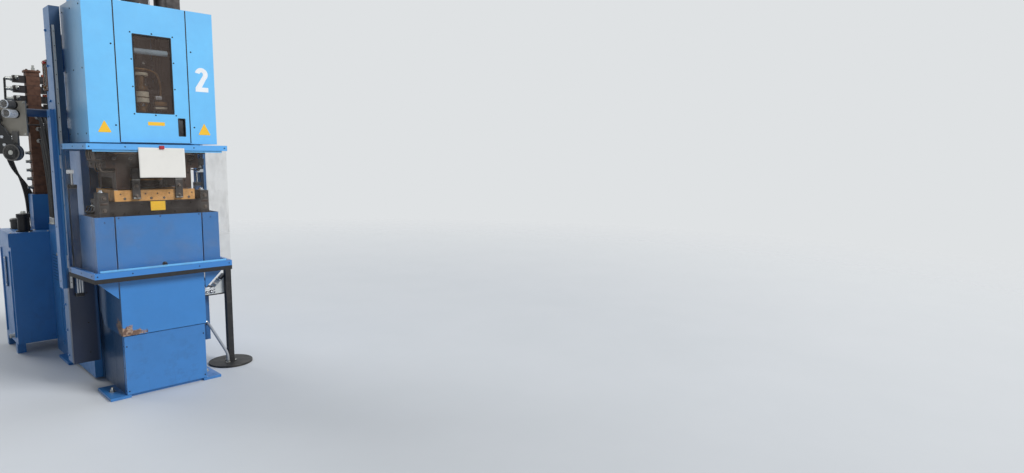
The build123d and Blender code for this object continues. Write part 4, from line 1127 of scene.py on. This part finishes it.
for y, z in ((519, 1830), (779, 1830), (519, 2052), (779, 2052), (652, 2052)):
    feeder.hex_bolt((face, y, z), "-x", 9, 3)
feeder.box((face - 34, 672, 1915), (face, 742, 1995), 3, 0)
feeder.turn((face - 34, 707, 1955), "-x", [(20, 0), (20, 22), (16, 24), (5, 24), (5, 36), (0, 36)], 28, 4)
points = [(face - 20, 672, 1930), (face - 52, 655, 1900), (face - 44, 620, 1860), (face - 28, 600, 1800)]
feeder.pipe(points, 5, 2, 10)
feeder.swing(-612, 550, 45)
# The tube and flange on the cheek take the dark blue painted-shade look.
feeder.turn((-335, 550, 1985), "-x", [(28.5, 0), (28.5, 250)], 32, 6)
feeder.turn((-325, 550, 1985), "-x", [(58, 0), (58, 10), (36, 12), (30, 26)], 40, 6)
for y, z in circle(6, 46, 550, 1985):
    feeder.hex_bolt((-335, y, z), "-x", 8, 3)
feeder.done()

stop = Piece("feeder_stop_button", "machine", None, "label_yellow signal_red black_plastic")
stop.box((-612, 728, 1985), (-552, 780, 2047), 4)
profile = [(20, 0), (20, 5), (11, 6), (11, 14), (20, 16), (22, 20), (20, 27), (0, 29)]
stop.turn((-582, 780, 2016), "y", profile, 28, 1)
stop.gland((-582, 754, 1985), "-z", 9, 10, 6, 12, 18, 2)
stop.swing(-612, 550, 45)
points = [(-735, 715, 1968), (-735, 715, 1935), (-690, 690, 1900), (-520, 640, 1900), (-334, 600, 1920)]
stop.pipe(points, 4, 2, 8, 4)
stop.done()

# Operator console

materials = "black_plastic mark_white signal_red label_yellow zinc coil_orange desk_grey"
desk = Piece("desk_controls", "machine", "black_rubber", materials)
desk.box((411, 64.5, 573), (605.5, 160.5, 584), 2.0)
for y in (86, 138):
    desk.turn((436, y, 632), "z", [(22, 0), (22, 4), (17, 5), (17, 9)], 28, 1)
    desk.turn((436, y, 641), "z", [(15, 0), (15, 6), (12, 10), (0, 11)], 28, 0)
for y in (80, 112, 144):
    desk.turn((473, y, 632), "z", [(12, 0), (12, 3), (9, 4)], 24, 1)
    desk.turn((473, y, 635), "z", [(9, 0), (9, 6), (7, 9), (0, 10)], 24, 0)
for x in (455, 462):
    desk.box((x - 2, 70, 632), (x + 2, 154, 633.5), 0.5, 0)
normal = Vector((-1, 0, 1)).normalized()
for share, tints in ((24, (6, 5, 6)), (54, (1, 6, 3))):
    for y, tint in zip((80, 112, 144), tints):
        place = Vector((486 + share, y, 632 + share))
        desk.turn(place, normal, [(9, 0), (9, 2), (7, 3), (7, 6), (0, 6.5)], 20, 6)
        desk.turn(place + normal * 6, normal, [(5.5, -1), (5.5, 1.5), (4, 2.2), (0, 2.2)], 20, tint)
desk.plate([(548, 693), (582, 727), (571, 738), (537, 704)], "xz", 64.5, 118, 2, 0)
for z in (602, 700):
    for x in (430, 520, 590):
        if z < 650 or x > 560:
            desk.dome((x, 160, z), "y", 4, 4)
for x, z, size in ((424, 606, 11), (459, 608, 15), (485, 622, 6), (485, 599, 6)):
    desk.turn((x, 64, z), "-y", [(size * 1.3, 0), (size * 1.3, 2), (size, 3)], 28, 1)
    desk.turn((x, 61, z), "-y", [(size, 0), (size, 6), (size * 0.8, 8), (0, 8)], 28, 0)
    desk.turn((x, 53, z), "-y", [(size * 0.45, 0), (size * 0.45, 0.8), (0, 0.8)], 20, 1)
desk.done()

stand = Piece("stand_fittings", "machine", "stand_grey", "stand_grey zinc black_rubber")
stand.turn((584, 42, 0), "z", [(165, 0), (165.8, 2), (165.8, 5), (164, 8)], 72, 2)
stand.box((550, 8, 14), (618, 76, 19), 1.5)
grid(stand.hex_bolt, (556, 612), (14, 70), 19, "z", 7, 1)
stand.box((561.5, 19.5, 778), (606.5, 64.5, 785), 2.5, 2)
grid(stand.hex_bolt, 584, 20, (604, 640, 700), "-y", 6, 0)
stand.gland((449, 170, 330), "-y", 18, 8, 14, 10, 22)
stand.gland((542, -3, 14), "z", 18, 8, 14, 10, 22)
stand.done()

# Camera, floor and light


def make_camera():
    """The photograph's camera, solved from the edges of the machines in it."""
    yaw, pitch, roll = (math.radians(a) for a in (46.357, 7.0017, 0.6016))
    level = Vector((math.sin(yaw), math.cos(yaw), 0))
    side = Vector((math.cos(yaw), -math.sin(yaw), 0))
    forward = level * math.cos(pitch) - Vector((0, 0, 1)) * math.sin(pitch)
    above = Vector((0, 0, 1)) * math.cos(pitch) + level * math.sin(pitch)
    right = side * math.cos(roll) + above * math.sin(roll)
    up = above * math.cos(roll) - side * math.sin(roll)
    data = bpy.data.cameras.new("photo_camera")
    data.sensor_width = 36
    data.lens = 22.943
    data.clip_end = 200
    camera = show("photo_camera", data)
    turn = Matrix((right, up, -forward)).transposed().to_4x4()
    camera.matrix_world = Matrix.Translation(Vector((-1.604, -5.242, 1.71))) @ turn
    bpy.context.scene.camera = camera


def make_floor():
    """A pale floor that fades into the pale background."""
    data = bpy.data.meshes.new("studio_floor")
    plane = bmesh.new()
    bmesh.ops.create_grid(plane, x_segments=1, y_segments=1, size=40)
    plane.to_mesh(data)
    plane.free()
    floor = show("studio_floor", data)
    floor.location = (0, 0, -0.0005)
    n = Surface("studio_floor")
    n.set(n.shader, "Base Color", n.mix(n.noise(900, 4), colour("C4C8CB"), colour("CCCFD2")))
    n.set(n.shader, "Roughness", 0.6)
    far = n.ramp(n.vector("LENGTH", n.place)["Value"], 4.5, 13.0)
    clear = n.add("BsdfTransparent").outputs[0]
    blend = n.add("MixShader", i0=far, i1=n.shader.outputs[0], i2=clear)
    n.set(n.output, "Surface", blend.outputs[0])
    data.materials.append(n.material)
    floor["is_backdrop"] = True


def make_sun(name, direction, strength, angle, tint="FFFFFF"):
    data = bpy.data.lights.new(name, "SUN")
    data.energy = strength
    data.angle = math.radians(angle)
    data.color = colour(tint)[:3]
    lamp = show(name, data)
    lamp.rotation_euler = Vector(direction).to_track_quat("-Z", "Y").to_euler()


def make_light():
    """Three wide suns, and a world that looks brighter to the camera than its light is."""
    make_sun("key_sun", (-0.42, 0.95, -0.72), 2.42, 22, "FBFCFF")
    make_sun("rear_sun", (0.3, -0.9, -0.8), 1.0, 30)
    make_sun("side_sun", (-1.0, -0.1, -0.7), 0.7, 40)
    world = bpy.data.worlds.new("studio_world")
    bpy.context.scene.world = world
    n = Nodes(world)
    light = n.add("Background", Color=colour("E8EEF5"), Strength=0.28).outputs[0]
    shown = n.add("Background", Color=colour("DFE2E4"), Strength=1.0).outputs[0]
    path = n.add("LightPath").outputs
    seen = n.math("MAXIMUM", path["Is Camera Ray"], path["Is Glossy Ray"])
    seen = n.math("MAXIMUM", seen, path["Is Transmission Ray"])
    n.add("OutputWorld", i0=n.add("MixShader", i0=seen, i1=light, i2=shown).outputs[0])


make_camera()
make_floor()
make_light()
bpy.context.scene.view_settings.view_transform = "Standard"

low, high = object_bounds()
